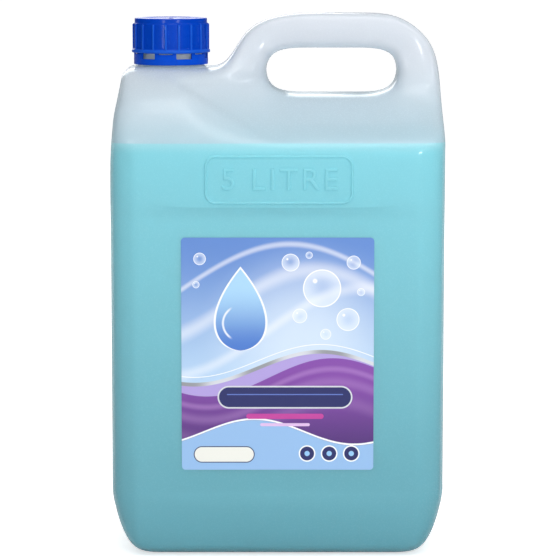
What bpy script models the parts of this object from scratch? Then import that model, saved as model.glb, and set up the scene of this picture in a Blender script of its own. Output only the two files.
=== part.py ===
# Five litre hand soap refill pack: a blow-moulded jerry can with an integral handle, the soap in it,
# a ribbed screw cap with its liner and tamper ring, and a front label.
# Metres, +Z up. The origin is the middle of the base; -Y is the labelled front.

from math import cos, pi, radians, sin

import bmesh
import bpy
from mathutils import Matrix

# Driving dimensions of the can
WIDTH = 0.182
DEPTH = 0.134
WALL = 0.0012
FIT_GAP = 0.0003
CORNER_SPAN = 0.022
BAND_BOW = 0.0020
PANEL_RECESS = 0.0030
PANEL_LOW = 0.0365
PANEL_LEVEL_LENGTH = 0.0080
BASE_BAND_TOP = 0.0310
BASE_SIDE_INSET = 0.0085
BASE_FRONT_INSET = 0.0030
BASE_BAND_DROP = 0.0005
SHOULDER_HEIGHT = 0.2654
BASE_RIM = 0.0060
BASE_RECESS = 0.0025
BASE_RECESS_SLOPE = 0.0035

# How far the levels of the can lie below its shoulder
LEDGE_DROP = 0.0723
PANEL_TOP_DROP = 0.0774
BAND_DROP = 0.0464
FILL_DROP = 0.0377
RIDGE_DROP = 0.0369
FLANK_DROP = 0.0254

# Driving dimensions of the handle; its hole's place is a share of half the width
HANDLE_RISE = 0.0291
HANDLE_THICKNESS = 0.0290
GRIP_PLACE = 0.3297
GRIP_DROP = 0.0023
GRIP_HOLE_LENGTH = 0.0726
GRIP_HOLE_HEIGHT = 0.0254
GRIP_FLAT_LENGTH = 0.0250

# Driving dimensions of the neck and its thread; its place is a share of half the width
NECK_PLACE = -0.6516
NECK_RADIUS = 0.0174
BORE_RADIUS = 0.0152
NECK_HEIGHT = 0.0240
BEAD_RADIUS = 0.0190
BEAD_HEIGHT = 0.0030
BEAD_THICKNESS = 0.0016
THREAD_PITCH = 0.0040
THREAD_DEPTH = 0.0012
THREAD_ROOT_WIDTH = 0.0018
THREAD_TIP_WIDTH = 0.0008
THREAD_TURNS = 1.75
THREAD_START = 0.0105
THREAD_STEPS = 32

# Driving dimensions of the cap, its liner and the tamper ring
CAP_RADIUS = 0.0206
CAP_RIB_PROUD = 0.0007
CAP_RIB_WIDTH = 0.0018
CAP_RIB_COUNT = 18
CAP_RIB_PHASE = radians(-5.5)
CAP_FLANGE_PROUD = 0.0012
CAP_FLANGE_HEIGHT = 0.0015
CAP_BASE = 0.0080
CAP_TOP = 0.0267
CAP_LAND_RADIUS = 0.0201
CAP_LAND_HEIGHT = 0.0026
CAP_CROWN = 0.0012
CAP_EDGE_ROUND = 0.0007
CAP_ROUND_STEPS = 72
LINER_THICKNESS = 0.0008
RING_RADIUS = 0.0206
RING_WALL = 0.0011
RING_FOOT = 0.0012
RING_BAND_HEIGHT = 0.0033
RING_TAB_DROP = 0.0010
RING_LIP_HEIGHT = 0.0012
RING_LIP_RADIUS = 0.0185
RING_WINDOW_COUNT = 6
RING_WINDOW_ANGLE = radians(26.0)
RING_SLOT_ANGLE = radians(22.0)
RING_WINDOW_PHASE = radians(-36.5)

# Driving dimensions of the label
LABEL_WIDTH = 0.1040
LABEL_FOOT_MARGIN = 0.0131
LABEL_HEAD_MARGIN = 0.0114
LABEL_THICKNESS = 0.0002
LABEL_CORNER = 0.0018
LABEL_CORNER_STEPS = 6

# The tower under the neck and the flank beside it: how far each level stands back from the front
TOWER_SETBACK = (0.0010, 0.0050, 0.0110, 0.0210, 0.0390)
FLANK_SETBACK = (0.0010, 0.0260)
TOWER_SHARE = (1.0, 1.0, 1.0, 0.42, 0.0, 0.0, 0.0, 0.0, 0.0)
TOWER_SIDE_INSET = (0.0012, 0.0035, 0.0050, 0.0058)
TOWER_LOW_DROP = 0.0174
TOWER_SIDE_DROP = 0.0085
TOWER_CORNER_RISE = 0.0008
NECK_PAD_LEFT = 0.0087
NECK_PAD_RIGHT = 0.0143
NECK_PAD_FOOT_DROP = 0.0080

# The saddle between the tower and the handle, and the handle's outline; places are shares of half the width
SADDLE_PLACE = (-0.3077, -0.2912, -0.3011)
SADDLE_FOOT_DROP = 0.0060
SADDLE_DROP = 0.0018
HANDLE_ROOT_PLACE = -0.2033
HANDLE_ROOT_DROP = 0.0057
HANDLE_CROWN_PLACE = 0.0846
HANDLE_CROWN_RISE = 0.0012
HANDLE_END_RISE = 0.0006
HANDLE_END_SHIFT = 0.0027
HANDLE_CORNER = 0.0098
HANDLE_LOW_INSET = 0.0008
HANDLE_SIDE_INSET = 0.0022
HANDLE_SIDE_DROP = 0.0047
GRIP_MARGIN = 0.0010
GRIP_SWELL = 0.0005
GRIP_FOOT_SWELL = 0.0055

# The cage from which the can is rounded
COLUMNS = 9
ROWS = 13
COLUMN_SPREAD = (-1.0, -0.62, -0.30, 0.0, 0.30, 0.62, 1.0)
HOLE_COLUMNS = (4, 7)
HOLE_ROWS = (10, 11)
LEDGE_ROW = 6
RIM_SHARE = 0.42

NECK_EDGE = 0.0004
BEAD_SLOPE = 0.0006
RIB_TAPER = 0.55
SMOOTH_ANGLE = radians(35)
NEAR = 0.00001
FRONT_ANGLE = -pi / 2

HALF_WIDTH = WIDTH / 2
HALF_DEPTH = DEPTH / 2
PANEL_DEPTH = HALF_DEPTH - PANEL_RECESS
LEDGE_HEIGHT = SHOULDER_HEIGHT - LEDGE_DROP
PANEL_HIGH = SHOULDER_HEIGHT - PANEL_TOP_DROP
BAND_HIGH = SHOULDER_HEIGHT - BAND_DROP
FILL_HEIGHT = SHOULDER_HEIGHT - FILL_DROP
RIDGE_HEIGHT = SHOULDER_HEIGHT - RIDGE_DROP
FLANK_HEIGHT = SHOULDER_HEIGHT - FLANK_DROP
HANDLE_TOP = SHOULDER_HEIGHT + HANDLE_RISE
GRIP_CENTRE_X = GRIP_PLACE * HALF_WIDTH
GRIP_CENTRE_Z = SHOULDER_HEIGHT - GRIP_DROP
NECK_X = NECK_PLACE * HALF_WIDTH
LABEL_LOW = PANEL_LOW + LABEL_FOOT_MARGIN
LABEL_HIGH = PANEL_HIGH - LABEL_HEAD_MARGIN
LABEL_HEIGHT = LABEL_HIGH - LABEL_LOW
LABEL_CENTRE_Z = (LABEL_HIGH + LABEL_LOW) / 2
GRIP_LOW = GRIP_CENTRE_Z - GRIP_HOLE_HEIGHT / 2
GRIP_HIGH = GRIP_CENTRE_Z + GRIP_HOLE_HEIGHT / 2
THREAD_CREST = NECK_RADIUS + THREAD_DEPTH
CAP_INNER = THREAD_CREST + FIT_GAP
CAP_THREAD_CREST = NECK_RADIUS + FIT_GAP

root_collection = bpy.context.scene.collection


def clear_scene():
    for existing in list(bpy.data.objects):
        bpy.data.objects.remove(existing, do_unlink=True)


def new_collection(name):
    collection = bpy.data.collections.new(name)
    root_collection.children.link(collection)
    return collection


def make_material(name, colour, roughness, alpha=1.0):
    material = bpy.data.materials.new(name)
    material.use_nodes = True
    shader = material.node_tree.nodes["Principled BSDF"]
    shader.inputs["Base Color"].default_value = (*colour, 1.0)
    shader.inputs["Roughness"].default_value = roughness
    shader.inputs["Metallic"].default_value = 0.0
    shader.inputs["Alpha"].default_value = alpha
    return material


def add_object(name, mesh, collection, material=None):
    made = bpy.data.objects.new(name, mesh)
    collection.objects.link(made)
    if material:
        mesh.materials.append(material)
    return made


def add_cutter(name, mesh):
    made = add_object(name, mesh, cutters)
    made.hide_render = True
    made.display_type = "WIRE"
    return made


def evaluated_mesh(source):
    graph = bpy.context.evaluated_depsgraph_get()
    mesh = bpy.data.meshes.new_from_object(source.evaluated_get(graph))
    mesh.transform(source.matrix_world)
    return mesh


def boolean(target, tool, operation):
    modifier = target.modifiers.new(operation.title() + " " + tool.name, "BOOLEAN")
    modifier.operation = operation
    modifier.object = tool
    modifier.solver = "EXACT"


def profile_object(name, points, collection, material=None, closed=False):
    """An outline in the XZ plane, ready to be turned about Z."""
    outline = bmesh.new()
    corners = [outline.verts.new((radius, 0.0, height)) for radius, height in points]
    pairs = list(zip(corners, corners[1:]))
    if closed:
        pairs.append((corners[-1], corners[0]))
    for start, end in pairs:
        outline.edges.new((start, end))
    mesh = bpy.data.meshes.new(name)
    outline.to_mesh(mesh)
    outline.free()
    return add_object(name, mesh, collection, material)


def turn(profile, steps):
    screw = profile.modifiers.new("Turn", "SCREW")
    screw.axis = "Z"
    screw.angle = 2 * pi
    screw.steps = steps
    screw.render_steps = steps
    screw.use_merge_vertices = True
    screw.merge_threshold = NEAR


def thread_tool(name, root_radius, crest_radius, start_height):
    """A helical ridge that runs out of the wall between root_radius and crest_radius."""
    outward = 1 if crest_radius > root_radius else -1
    buried = root_radius - outward * WALL / 2
    root_half = THREAD_ROOT_WIDTH / 2
    tip_half = THREAD_TIP_WIDTH / 2
    points = [
        (buried, -root_half),
        (crest_radius, -tip_half),
        (crest_radius, tip_half),
        (buried, root_half),
    ]
    ridge = bmesh.new()
    section = [ridge.verts.new((radius, 0.0, height)) for radius, height in points]
    ridge.faces.new(section)
    swept = list(ridge.faces)
    steps = round(THREAD_STEPS * THREAD_TURNS)
    bmesh.ops.spin(
        ridge,
        geom=swept,
        cent=(0.0, 0.0, 0.0),
        axis=(0.0, 0.0, 1.0),
        dvec=(0.0, 0.0, THREAD_PITCH * THREAD_TURNS / steps),
        angle=2 * pi * THREAD_TURNS,
        steps=steps,
        use_merge=False,
    )
    bmesh.ops.recalc_face_normals(ridge, faces=ridge.faces)
    bmesh.ops.translate(ridge, verts=ridge.verts, vec=(NECK_X, 0.0, start_height))
    mesh = bpy.data.meshes.new(name)
    ridge.to_mesh(mesh)
    ridge.free()
    return add_cutter(name, mesh)


def rotation_about_z(angle):
    return Matrix.Rotation(angle, 3, "Z")


def tank_columns():
    """The cage's column places across the tank, closer together at the rounded corners."""
    inner = HALF_WIDTH - CORNER_SPAN
    spread = [inner * share for share in COLUMN_SPREAD]
    return [-HALF_WIDTH] + spread + [HALF_WIDTH]


def bowed_depth(x, edge_depth):
    """Half the depth of a band that bows out towards its middle."""
    return edge_depth + BAND_BOW * (1 - (x / HALF_WIDTH) ** 2)


def tank_row(height, depth_at, inset=0.0):
    share = (HALF_WIDTH - inset) / HALF_WIDTH
    return [(x * share, depth_at(x), height) for x in tank_columns()]


def tank_rows():
    band_edge = HALF_DEPTH - BAND_BOW
    base = tank_row(0.0, lambda x: band_edge - BASE_FRONT_INSET, BASE_SIDE_INSET)
    bands = [
        (BASE_BAND_TOP, lambda x: bowed_depth(x, band_edge - BASE_BAND_DROP)),
        (PANEL_LOW, lambda x: PANEL_DEPTH),
        (PANEL_LOW + PANEL_LEVEL_LENGTH, lambda x: PANEL_DEPTH),
        (PANEL_HIGH - PANEL_LEVEL_LENGTH, lambda x: PANEL_DEPTH),
        (PANEL_HIGH, lambda x: PANEL_DEPTH),
        (LEDGE_HEIGHT, lambda x: bowed_depth(x, band_edge)),
        (BAND_HIGH, lambda x: bowed_depth(x, band_edge)),
    ]
    return [base] + [tank_row(height, depth_at) for height, depth_at in bands]


def upper_rows():
    """The ridge, the flank, the foot and head of the grip hole, and the top outline."""
    hole_left = GRIP_CENTRE_X - GRIP_HOLE_LENGTH / 2 - GRIP_MARGIN
    hole_right = GRIP_CENTRE_X + GRIP_HOLE_LENGTH / 2 + GRIP_MARGIN
    flat_left = GRIP_CENTRE_X - GRIP_FLAT_LENGTH / 2
    flat_right = GRIP_CENTRE_X + GRIP_FLAT_LENGTH / 2
    side = HALF_WIDTH
    neck_left = NECK_X - NECK_PAD_LEFT
    neck_right = NECK_X + NECK_PAD_RIGHT
    shoulder = SHOULDER_HEIGHT
    pad_foot = shoulder - NECK_PAD_FOOT_DROP
    top = HANDLE_TOP
    ridge_left, low_left, high_left, top_left = [-side + inset for inset in TOWER_SIDE_INSET]
    low_saddle, foot_saddle, top_saddle = [place * side for place in SADDLE_PLACE]

    tower = [HALF_DEPTH - setback for setback in TOWER_SETBACK]
    grip = HANDLE_THICKNESS / 2 + GRIP_SWELL
    flank = [HALF_DEPTH - setback for setback in FLANK_SETBACK]
    flank += [HANDLE_THICKNESS / 2 + GRIP_FOOT_SWELL, grip, grip]

    ridge_x = tank_columns()
    low_x = [low_left, neck_left, neck_right, low_saddle]
    low_x += [hole_left, flat_left, flat_right, hole_right, side - HANDLE_LOW_INSET]
    plan = [
        [(x, RIDGE_HEIGHT) for x in ridge_x],
        [((a + b) / 2, FLANK_HEIGHT) for a, b in zip(ridge_x, low_x)],
        [(x, GRIP_LOW) for x in low_x],
        [
            (high_left, shoulder - TOWER_SIDE_DROP),
            (neck_left, pad_foot),
            (neck_right, pad_foot),
            (foot_saddle, shoulder - SADDLE_FOOT_DROP),
            (hole_left, GRIP_HIGH),
            (flat_left, GRIP_HIGH),
            (flat_right, GRIP_HIGH),
            (hole_right, GRIP_HIGH),
            (side - HANDLE_SIDE_INSET, GRIP_HIGH - HANDLE_SIDE_DROP),
        ],
        [
            (top_left, shoulder + TOWER_CORNER_RISE),
            (neck_left, shoulder),
            (neck_right, shoulder),
            (top_saddle, shoulder - SADDLE_DROP),
            (HANDLE_ROOT_PLACE * side, top - HANDLE_ROOT_DROP),
            (HANDLE_CROWN_PLACE * side, top + HANDLE_CROWN_RISE),
            (flat_right, top),
            (hole_right - HANDLE_END_SHIFT, top + HANDLE_END_RISE),
            (side - HANDLE_CORNER, top - HANDLE_CORNER),
        ],
    ]
    plan[0][0] = (ridge_left, RIDGE_HEIGHT)
    plan[2][0] = (low_left, shoulder - TOWER_LOW_DROP)
    rows = []
    for row, tower_depth, flank_depth in zip(plan, tower, flank):
        depths = [flank_depth + share * (tower_depth - flank_depth) for share in TOWER_SHARE]
        rows.append([(x, depth, z) for (x, z), depth in zip(row, depths)])
    return rows


def can_surface():
    """The can's outer surface: a cage of the front half, mirrored across the parting plane."""
    cage = bmesh.new()
    bmesh.ops.create_grid(cage, x_segments=COLUMNS - 1, y_segments=ROWS - 1, size=0.5)
    places = tank_rows() + upper_rows()
    at = {}
    for corner in cage.verts:
        column = round((corner.co.x + 0.5) * (COLUMNS - 1))
        row = round((corner.co.y + 0.5) * (ROWS - 1))
        at[column, row] = corner
    for (column, row), corner in at.items():
        x, depth, z = places[row][column]
        corner.co = (x, -depth, z)

    hole = [
        at[column, row] for column in range(HOLE_COLUMNS[0], HOLE_COLUMNS[1] + 1) for row in HOLE_ROWS
    ]
    across = [face for face in cage.faces if all(corner in hole for corner in face.verts)]
    bmesh.ops.delete(cage, geom=across, context="FACES")

    for rim_depth in (support_depth, lambda depth: 0.0):
        rim = [edge for edge in cage.edges if edge.is_boundary]
        grown = bmesh.ops.extrude_edge_only(cage, edges=rim)["geom"]
        for corner in grown:
            if isinstance(corner, bmesh.types.BMVert):
                corner.co.y = -rim_depth(-corner.co.y)

    crease = cage.edges.layers.float.new("crease_edge")
    for column in range(1, COLUMNS - 2):
        ledge = cage.edges.get((at[column, LEDGE_ROW], at[column + 1, LEDGE_ROW]))
        ledge[crease] = 1.0
    bmesh.ops.recalc_face_normals(cage, faces=cage.faces)
    mesh = bpy.data.meshes.new("can_cage")
    cage.to_mesh(mesh)
    cage.free()

    form = add_object("can_cage", mesh, root_collection)
    mirror = form.modifiers.new("Other half", "MIRROR")
    mirror.use_axis = (False, True, False)
    mirror.merge_threshold = NEAR
    smooth = form.modifiers.new("Soft form", "SUBSURF")
    smooth.levels = 1
    smooth.render_levels = 1
    surface = evaluated_mesh(form)
    bpy.data.objects.remove(form, do_unlink=True)
    return surface


def support_depth(depth):
    """Where the rim row stands between the face at depth and the parting plane."""
    return max(depth - CORNER_SPAN, RIM_SHARE * depth)


def pushed_up_base(surface):
    """Sinks the base inside a flat rim, as a blown base is pushed up."""
    form = bmesh.new()
    form.from_mesh(surface)
    form.normal_update()
    base = [
        face
        for face in form.faces
        if face.normal.z < -0.999
        and all(abs(corner.co.z) < NEAR for corner in face.verts)
    ]
    for inward in (BASE_RIM, BASE_RECESS_SLOPE):
        bmesh.ops.inset_region(form, faces=base, thickness=inward, use_even_offset=True)
    for corner in {corner for face in base for corner in face.verts}:
        corner.co.z += BASE_RECESS
    form.to_mesh(surface)
    form.free()
    return surface


def make_bottle(surface):
    bottle = add_object("bottle", surface.copy(), pack, shades["bottle"])
    shell = bottle.modifiers.new("Wall", "SOLIDIFY")
    shell.thickness = WALL
    shell.offset = -1.0
    shell.use_even_offset = True

    bpy.ops.mesh.primitive_cylinder_add(
        vertices=THREAD_STEPS,
        radius=(BORE_RADIUS + NECK_RADIUS) / 2,
        depth=NECK_HEIGHT,
        location=(NECK_X, 0.0, SHOULDER_HEIGHT),
    )
    opening = adopt_cutter("neck_opening")
    boolean(bottle, opening, "DIFFERENCE")

    foot = -WALL - FIT_GAP
    low = BEAD_HEIGHT
    high = BEAD_HEIGHT + BEAD_THICKNESS
    neck = profile_object(
        "neck_wall",
        [
            (BORE_RADIUS, foot),
            (BORE_RADIUS, NECK_HEIGHT),
            (NECK_RADIUS - NECK_EDGE, NECK_HEIGHT),
            (NECK_RADIUS, NECK_HEIGHT - NECK_EDGE),
            (NECK_RADIUS, high),
            (BEAD_RADIUS, high - BEAD_SLOPE),
            (BEAD_RADIUS, low),
            (NECK_RADIUS, low),
            (NECK_RADIUS, foot),
        ],
        cutters,
        closed=True,
    )
    neck.location = (NECK_X, 0.0, SHOULDER_HEIGHT)
    neck.hide_render = True
    neck.display_type = "WIRE"
    turn(neck, 2 * THREAD_STEPS)
    boolean(bottle, neck, "UNION")

    thread = thread_tool(
        "neck_thread", NECK_RADIUS, THREAD_CREST, SHOULDER_HEIGHT + THREAD_START
    )
    boolean(bottle, thread, "UNION")
    smooth_round(bottle)
    return bottle


def adopt_cutter(name):
    """Names the primitive just added and moves it to the cutters."""
    made = bpy.context.object
    made.name = name
    for collection in list(made.users_collection):
        collection.objects.unlink(made)
    cutters.objects.link(made)
    made.hide_render = True
    made.display_type = "WIRE"
    return made


def smooth_round(made):
    made.data.shade_smooth()
    made.data.set_sharp_from_angle(angle=SMOOTH_ANGLE)


def make_soap(surface):
    """The soap: the inside of the can up to the fill level, clear of the wall."""
    form = bmesh.new()
    form.from_mesh(surface)
    form.normal_update()
    inward = WALL + FIT_GAP
    moved = [corner.co - corner.normal * inward * corner.calc_shell_factor() for corner in form.verts]
    for corner, place in zip(form.verts, moved):
        corner.co = place
    everything = list(form.verts) + list(form.edges) + list(form.faces)
    cut = bmesh.ops.bisect_plane(
        form,
        geom=everything,
        plane_co=(0.0, 0.0, FILL_HEIGHT),
        plane_no=(0.0, 0.0, 1.0),
        clear_outer=True,
    )
    rim = [item for item in cut["geom_cut"] if isinstance(item, bmesh.types.BMEdge)]
    bmesh.ops.contextual_create(form, geom=rim)
    bmesh.ops.recalc_face_normals(form, faces=form.faces)
    mesh = bpy.data.meshes.new("hand_soap")
    form.to_mesh(mesh)
    form.free()
    soap = add_object("hand_soap", mesh, pack, shades["soap"])
    smooth_round(soap)
    return soap


def make_cap():
    skirt = CAP_RADIUS
    land = CAP_LAND_RADIUS
    flange = CAP_RADIUS + CAP_FLANGE_PROUD
    rounding = CAP_EDGE_ROUND
    inside_top = CAP_TOP - CAP_CROWN
    cap = profile_object(
        "cap",
        [
            (0.0, CAP_TOP),
            (land - rounding, CAP_TOP),
            (land - rounding * (1 - sin(pi / 4)), CAP_TOP - rounding * (1 - cos(pi / 4))),
            (land, CAP_TOP - rounding),
            (land, CAP_TOP - CAP_LAND_HEIGHT),
            (skirt, CAP_TOP - CAP_LAND_HEIGHT - rounding),
            (skirt, CAP_BASE + CAP_FLANGE_HEIGHT + rounding),
            (flange, CAP_BASE + CAP_FLANGE_HEIGHT),
            (flange, CAP_BASE),
            (CAP_INNER, CAP_BASE),
            (CAP_INNER, inside_top),
            (0.0, inside_top),
        ],
        pack,
        shades["cap"],
    )
    cap.location = (NECK_X, 0.0, SHOULDER_HEIGHT)
    turn(cap, CAP_ROUND_STEPS)
    boolean(cap, grip_ribs(), "UNION")
    below_neck_thread = SHOULDER_HEIGHT + THREAD_START - THREAD_PITCH / 2
    thread = thread_tool("cap_thread", CAP_INNER, CAP_THREAD_CREST, below_neck_thread)
    boolean(cap, thread, "UNION")
    smooth_round(cap)
    return cap


def grip_ribs():
    """The ribs around the cap's skirt, all in one tool."""
    low = CAP_BASE + CAP_FLANGE_HEIGHT / 2
    high = CAP_TOP - CAP_LAND_HEIGHT - CAP_EDGE_ROUND / 2
    ribs = bmesh.new()
    for number in range(CAP_RIB_COUNT):
        angle = FRONT_ANGLE + CAP_RIB_PHASE + 2 * pi * number / CAP_RIB_COUNT
        made = bmesh.ops.create_cube(ribs, size=1.0)["verts"]
        size = (2 * CAP_RIB_PROUD, CAP_RIB_WIDTH, high - low)
        bmesh.ops.scale(ribs, verts=made, vec=size)
        for corner in made:
            if corner.co.x > 0:
                corner.co.y *= RIB_TAPER
        bmesh.ops.translate(ribs, verts=made, vec=(CAP_RADIUS, 0.0, (low + high) / 2))
        bmesh.ops.rotate(ribs, verts=made, cent=(0, 0, 0), matrix=rotation_about_z(angle))
    bmesh.ops.translate(ribs, verts=ribs.verts, vec=(NECK_X, 0.0, SHOULDER_HEIGHT))
    mesh = bpy.data.meshes.new("grip_ribs")
    ribs.to_mesh(mesh)
    ribs.free()
    return add_cutter("grip_ribs", mesh)


def make_liner():
    low = NECK_HEIGHT + FIT_GAP
    bpy.ops.mesh.primitive_cylinder_add(
        vertices=THREAD_STEPS,
        radius=CAP_INNER - FIT_GAP,
        depth=LINER_THICKNESS,
        location=(NECK_X, 0.0, SHOULDER_HEIGHT + low + LINER_THICKNESS / 2),
    )
    liner = bpy.context.object
    liner.name = "cap_liner"
    for collection in list(liner.users_collection):
        collection.objects.unlink(liner)
    pack.objects.link(liner)
    liner.data.materials.append(shades["liner"])
    smooth_round(liner)
    return liner


def make_tamper_ring():
    top = CAP_BASE - FIT_GAP
    inner = RING_RADIUS - RING_WALL
    ring = profile_object(
        "tamper_ring",
        [
            (RING_RADIUS, top),
            (RING_RADIUS, RING_FOOT),
            (RING_LIP_RADIUS, RING_FOOT),
            (RING_LIP_RADIUS, RING_FOOT + RING_LIP_HEIGHT),
            (inner, RING_FOOT + RING_LIP_HEIGHT + RING_WALL / 2),
            (inner, top),
        ],
        pack,
        shades["cap"],
        closed=True,
    )
    ring.location = (NECK_X, 0.0, SHOULDER_HEIGHT)
    turn(ring, CAP_ROUND_STEPS)
    step = 2 * pi / RING_WINDOW_COUNT
    window_foot = RING_FOOT + RING_BAND_HEIGHT
    slot_foot = CAP_BASE - RING_TAB_DROP
    tools = bmesh.new()
    for number in range(RING_WINDOW_COUNT):
        middle = FRONT_ANGLE + RING_WINDOW_PHASE + number * step
        add_wedge(tools, middle, RING_WINDOW_ANGLE, window_foot)
        add_wedge(tools, middle + step / 2, RING_SLOT_ANGLE, slot_foot)
    bmesh.ops.translate(tools, verts=tools.verts, vec=(NECK_X, 0.0, SHOULDER_HEIGHT))
    mesh = bpy.data.meshes.new("ring_windows")
    tools.to_mesh(mesh)
    tools.free()
    boolean(ring, add_cutter("ring_windows", mesh), "DIFFERENCE")
    smooth_round(ring)
    return ring


def add_wedge(tools, middle, angle, foot):
    """A radial block that cuts one window of the given angle, from foot up."""
    made = bmesh.ops.create_cube(tools, size=1.0)["verts"]
    height = CAP_BASE + CAP_FLANGE_HEIGHT - foot
    inner = RING_LIP_RADIUS - RING_WALL
    outer = RING_RADIUS + RING_WALL
    for corner in made:
        radius = outer if corner.co.x > 0 else inner
        turn_angle = middle + (angle / 2 if corner.co.y > 0 else -angle / 2)
        z = foot + height * (corner.co.z + 0.5)
        reach = radius / cos(angle / 2) if corner.co.x > 0 else radius
        corner.co = (reach * cos(turn_angle), reach * sin(turn_angle), z)


def make_label():
    """The front label: a rounded rectangle that stands on the flat panel."""
    half_x = LABEL_WIDTH / 2 - LABEL_CORNER
    half_z = LABEL_HEIGHT / 2 - LABEL_CORNER
    curve = bpy.data.curves.new("front_label", "CURVE")
    curve.dimensions = "2D"
    curve.fill_mode = "BOTH"
    curve.extrude = LABEL_THICKNESS / 2
    outline = curve.splines.new("POLY")
    points = []
    for quarter, (sign_x, sign_z) in enumerate(((1, 1), (-1, 1), (-1, -1), (1, -1))):
        for step in range(LABEL_CORNER_STEPS + 1):
            angle = (quarter + step / LABEL_CORNER_STEPS) * pi / 2
            x = sign_x * half_x + LABEL_CORNER * cos(angle)
            z = sign_z * half_z + LABEL_CORNER * sin(angle)
            points.append((x, z))
    outline.points.add(len(points) - 1)
    for point, (x, z) in zip(outline.points, points):
        point.co = (x, z, 0.0, 1.0)
    outline.use_cyclic_u = True
    flat = bpy.data.objects.new("label_outline", curve)
    root_collection.objects.link(flat)
    flat.rotation_euler = (pi / 2, 0.0, 0.0)
    flat.location = (0.0, -(PANEL_DEPTH + FIT_GAP + LABEL_THICKNESS / 2), LABEL_CENTRE_Z)
    bpy.context.view_layer.update()
    mesh = evaluated_mesh(flat)
    bpy.data.objects.remove(flat, do_unlink=True)
    sheet = bmesh.new()
    sheet.from_mesh(mesh)
    bmesh.ops.remove_doubles(sheet, verts=sheet.verts, dist=0.000001)
    bmesh.ops.recalc_face_normals(sheet, faces=sheet.faces)
    sheet.to_mesh(mesh)
    sheet.free()
    mesh.name = "front_label"
    return add_object("front_label", mesh, pack, shades["label"])


clear_scene()
pack = new_collection("hand_soap_refill_pack")
cutters = new_collection("cutters")
shades = {
    "bottle": make_material("natural_polythene", (0.80, 0.86, 0.89), 0.38, 0.55),
    "soap": make_material("blue_soap", (0.33, 0.70, 0.80), 0.30),
    "cap": make_material("blue_cap", (0.005, 0.045, 0.50), 0.28),
    "liner": make_material("liner_foam", (0.90, 0.90, 0.88), 0.80),
    "label": make_material("label_print", (0.25, 0.40, 0.70), 0.35),
}

can = pushed_up_base(can_surface())
make_bottle(can)
make_soap(can)
make_cap()
make_liner()
make_tamper_ring()
make_label()
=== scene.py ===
"""Five litre refill pack of hand soap: a blown can of natural polythene, its blue screw cap and its label.

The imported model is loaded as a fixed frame. Each operator models one piece in that frame and gives it
a finish.
"""

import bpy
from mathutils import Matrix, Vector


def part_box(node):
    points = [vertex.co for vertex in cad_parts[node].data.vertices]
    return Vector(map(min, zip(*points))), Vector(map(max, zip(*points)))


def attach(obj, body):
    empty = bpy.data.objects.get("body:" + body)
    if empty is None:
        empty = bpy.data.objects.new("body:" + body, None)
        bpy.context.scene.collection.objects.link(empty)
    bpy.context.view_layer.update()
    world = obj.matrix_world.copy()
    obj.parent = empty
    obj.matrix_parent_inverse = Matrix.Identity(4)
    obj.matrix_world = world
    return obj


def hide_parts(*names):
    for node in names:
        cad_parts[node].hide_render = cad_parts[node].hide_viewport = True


bl_info = {
    "name": "Hand soap refill pack",
    "version": (1, 0, 0),
    "blender": (4, 5, 0),
    "location": "View3D > Sidebar > Refill pack",
    "description": "Models a five litre hand soap refill pack, piece by piece",
    "category": "Object",
}

from math import cos, pi, radians, sin

import bmesh
import bpy
from bpy.props import FloatProperty, FloatVectorProperty, IntProperty, PointerProperty
from mathutils import Matrix, Vector

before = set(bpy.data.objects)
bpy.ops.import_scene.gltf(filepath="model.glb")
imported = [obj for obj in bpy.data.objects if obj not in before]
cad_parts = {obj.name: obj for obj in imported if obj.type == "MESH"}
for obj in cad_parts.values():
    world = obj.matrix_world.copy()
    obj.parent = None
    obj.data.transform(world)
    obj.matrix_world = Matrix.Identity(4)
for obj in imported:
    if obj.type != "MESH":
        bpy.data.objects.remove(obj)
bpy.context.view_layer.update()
CAN_LOW, CAN_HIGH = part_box("bottle")
CAP_LOW, CAP_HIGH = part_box("cap")
RING_LOW, RING_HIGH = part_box("tamper_ring")
LABEL_LOW, LABEL_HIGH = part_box("front_label")

NECK_X = (CAP_LOW.x + CAP_HIGH.x) / 2
FRONT = -pi / 2

COLUMNS = 9
ROWS = 13
COLUMN_SPREAD = (-1.0, -0.62, -0.30, 0.0, 0.30, 0.62, 1.0)
HOLE_COLUMNS = (4, 7)
HOLE_ROWS = (10, 11)
LEDGE_ROW = 6
TOWER_SHARE = (1.0, 1.0, 1.0, 0.42, 0.0, 0.0, 0.0, 0.0, 0.0)
RIM_SHARE = 0.42
NEAR = 0.00001
ROOT = "pack"

# Levels of the can above its base
BASE_BAND_TOP = 0.0310
PANEL_LOW = 0.0365
PANEL_HIGH = 0.1880
PANEL_LEVEL = 0.0080
BAND_HIGH = 0.2190
FLANK_LEVEL = 0.2400
BASE_SIDE_INSET = 0.0085
BASE_FRONT_INSET = 0.0030
FLANK_STEP = 0.0036

# The neck, its ring and its thread
NECK_RADIUS = 0.0174
NECK_CREST = 0.0186
NECK_HEIGHT = 0.0240
BORE_RADIUS = 0.0152
NECK_PAD_LEFT = 0.0087
NECK_PAD_RIGHT = 0.0143
THREAD_START = 0.0105
THREAD_PITCH = 0.0040
THREAD_TURNS = 1.75
THREAD_STEPS = 84
THREAD_ROOT_WIDTH = 0.0018
THREAD_CREST_WIDTH = 0.0008


# Sizes and colours


def length(name, description, default):
    return FloatProperty(
        name=name, description=description, default=default, subtype="DISTANCE", unit="LENGTH", precision=5
    )


def colour(name, description, default):
    return FloatVectorProperty(
        name=name, description=description, default=default, subtype="COLOR", size=3, min=0.0, max=1.0
    )


def ink(red, green, blue):
    """A printed colour of 0 to 255 per channel, as linear light."""
    parts = (red / 255, green / 255, blue / 255)
    return tuple(part / 12.92 if part <= 0.04045 else ((part + 0.055) / 1.055) ** 2.4 for part in parts)


def share(name, description, default):
    return FloatProperty(
        name=name, description=description, default=default, min=0.0, max=1.0, subtype="FACTOR"
    )


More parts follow.
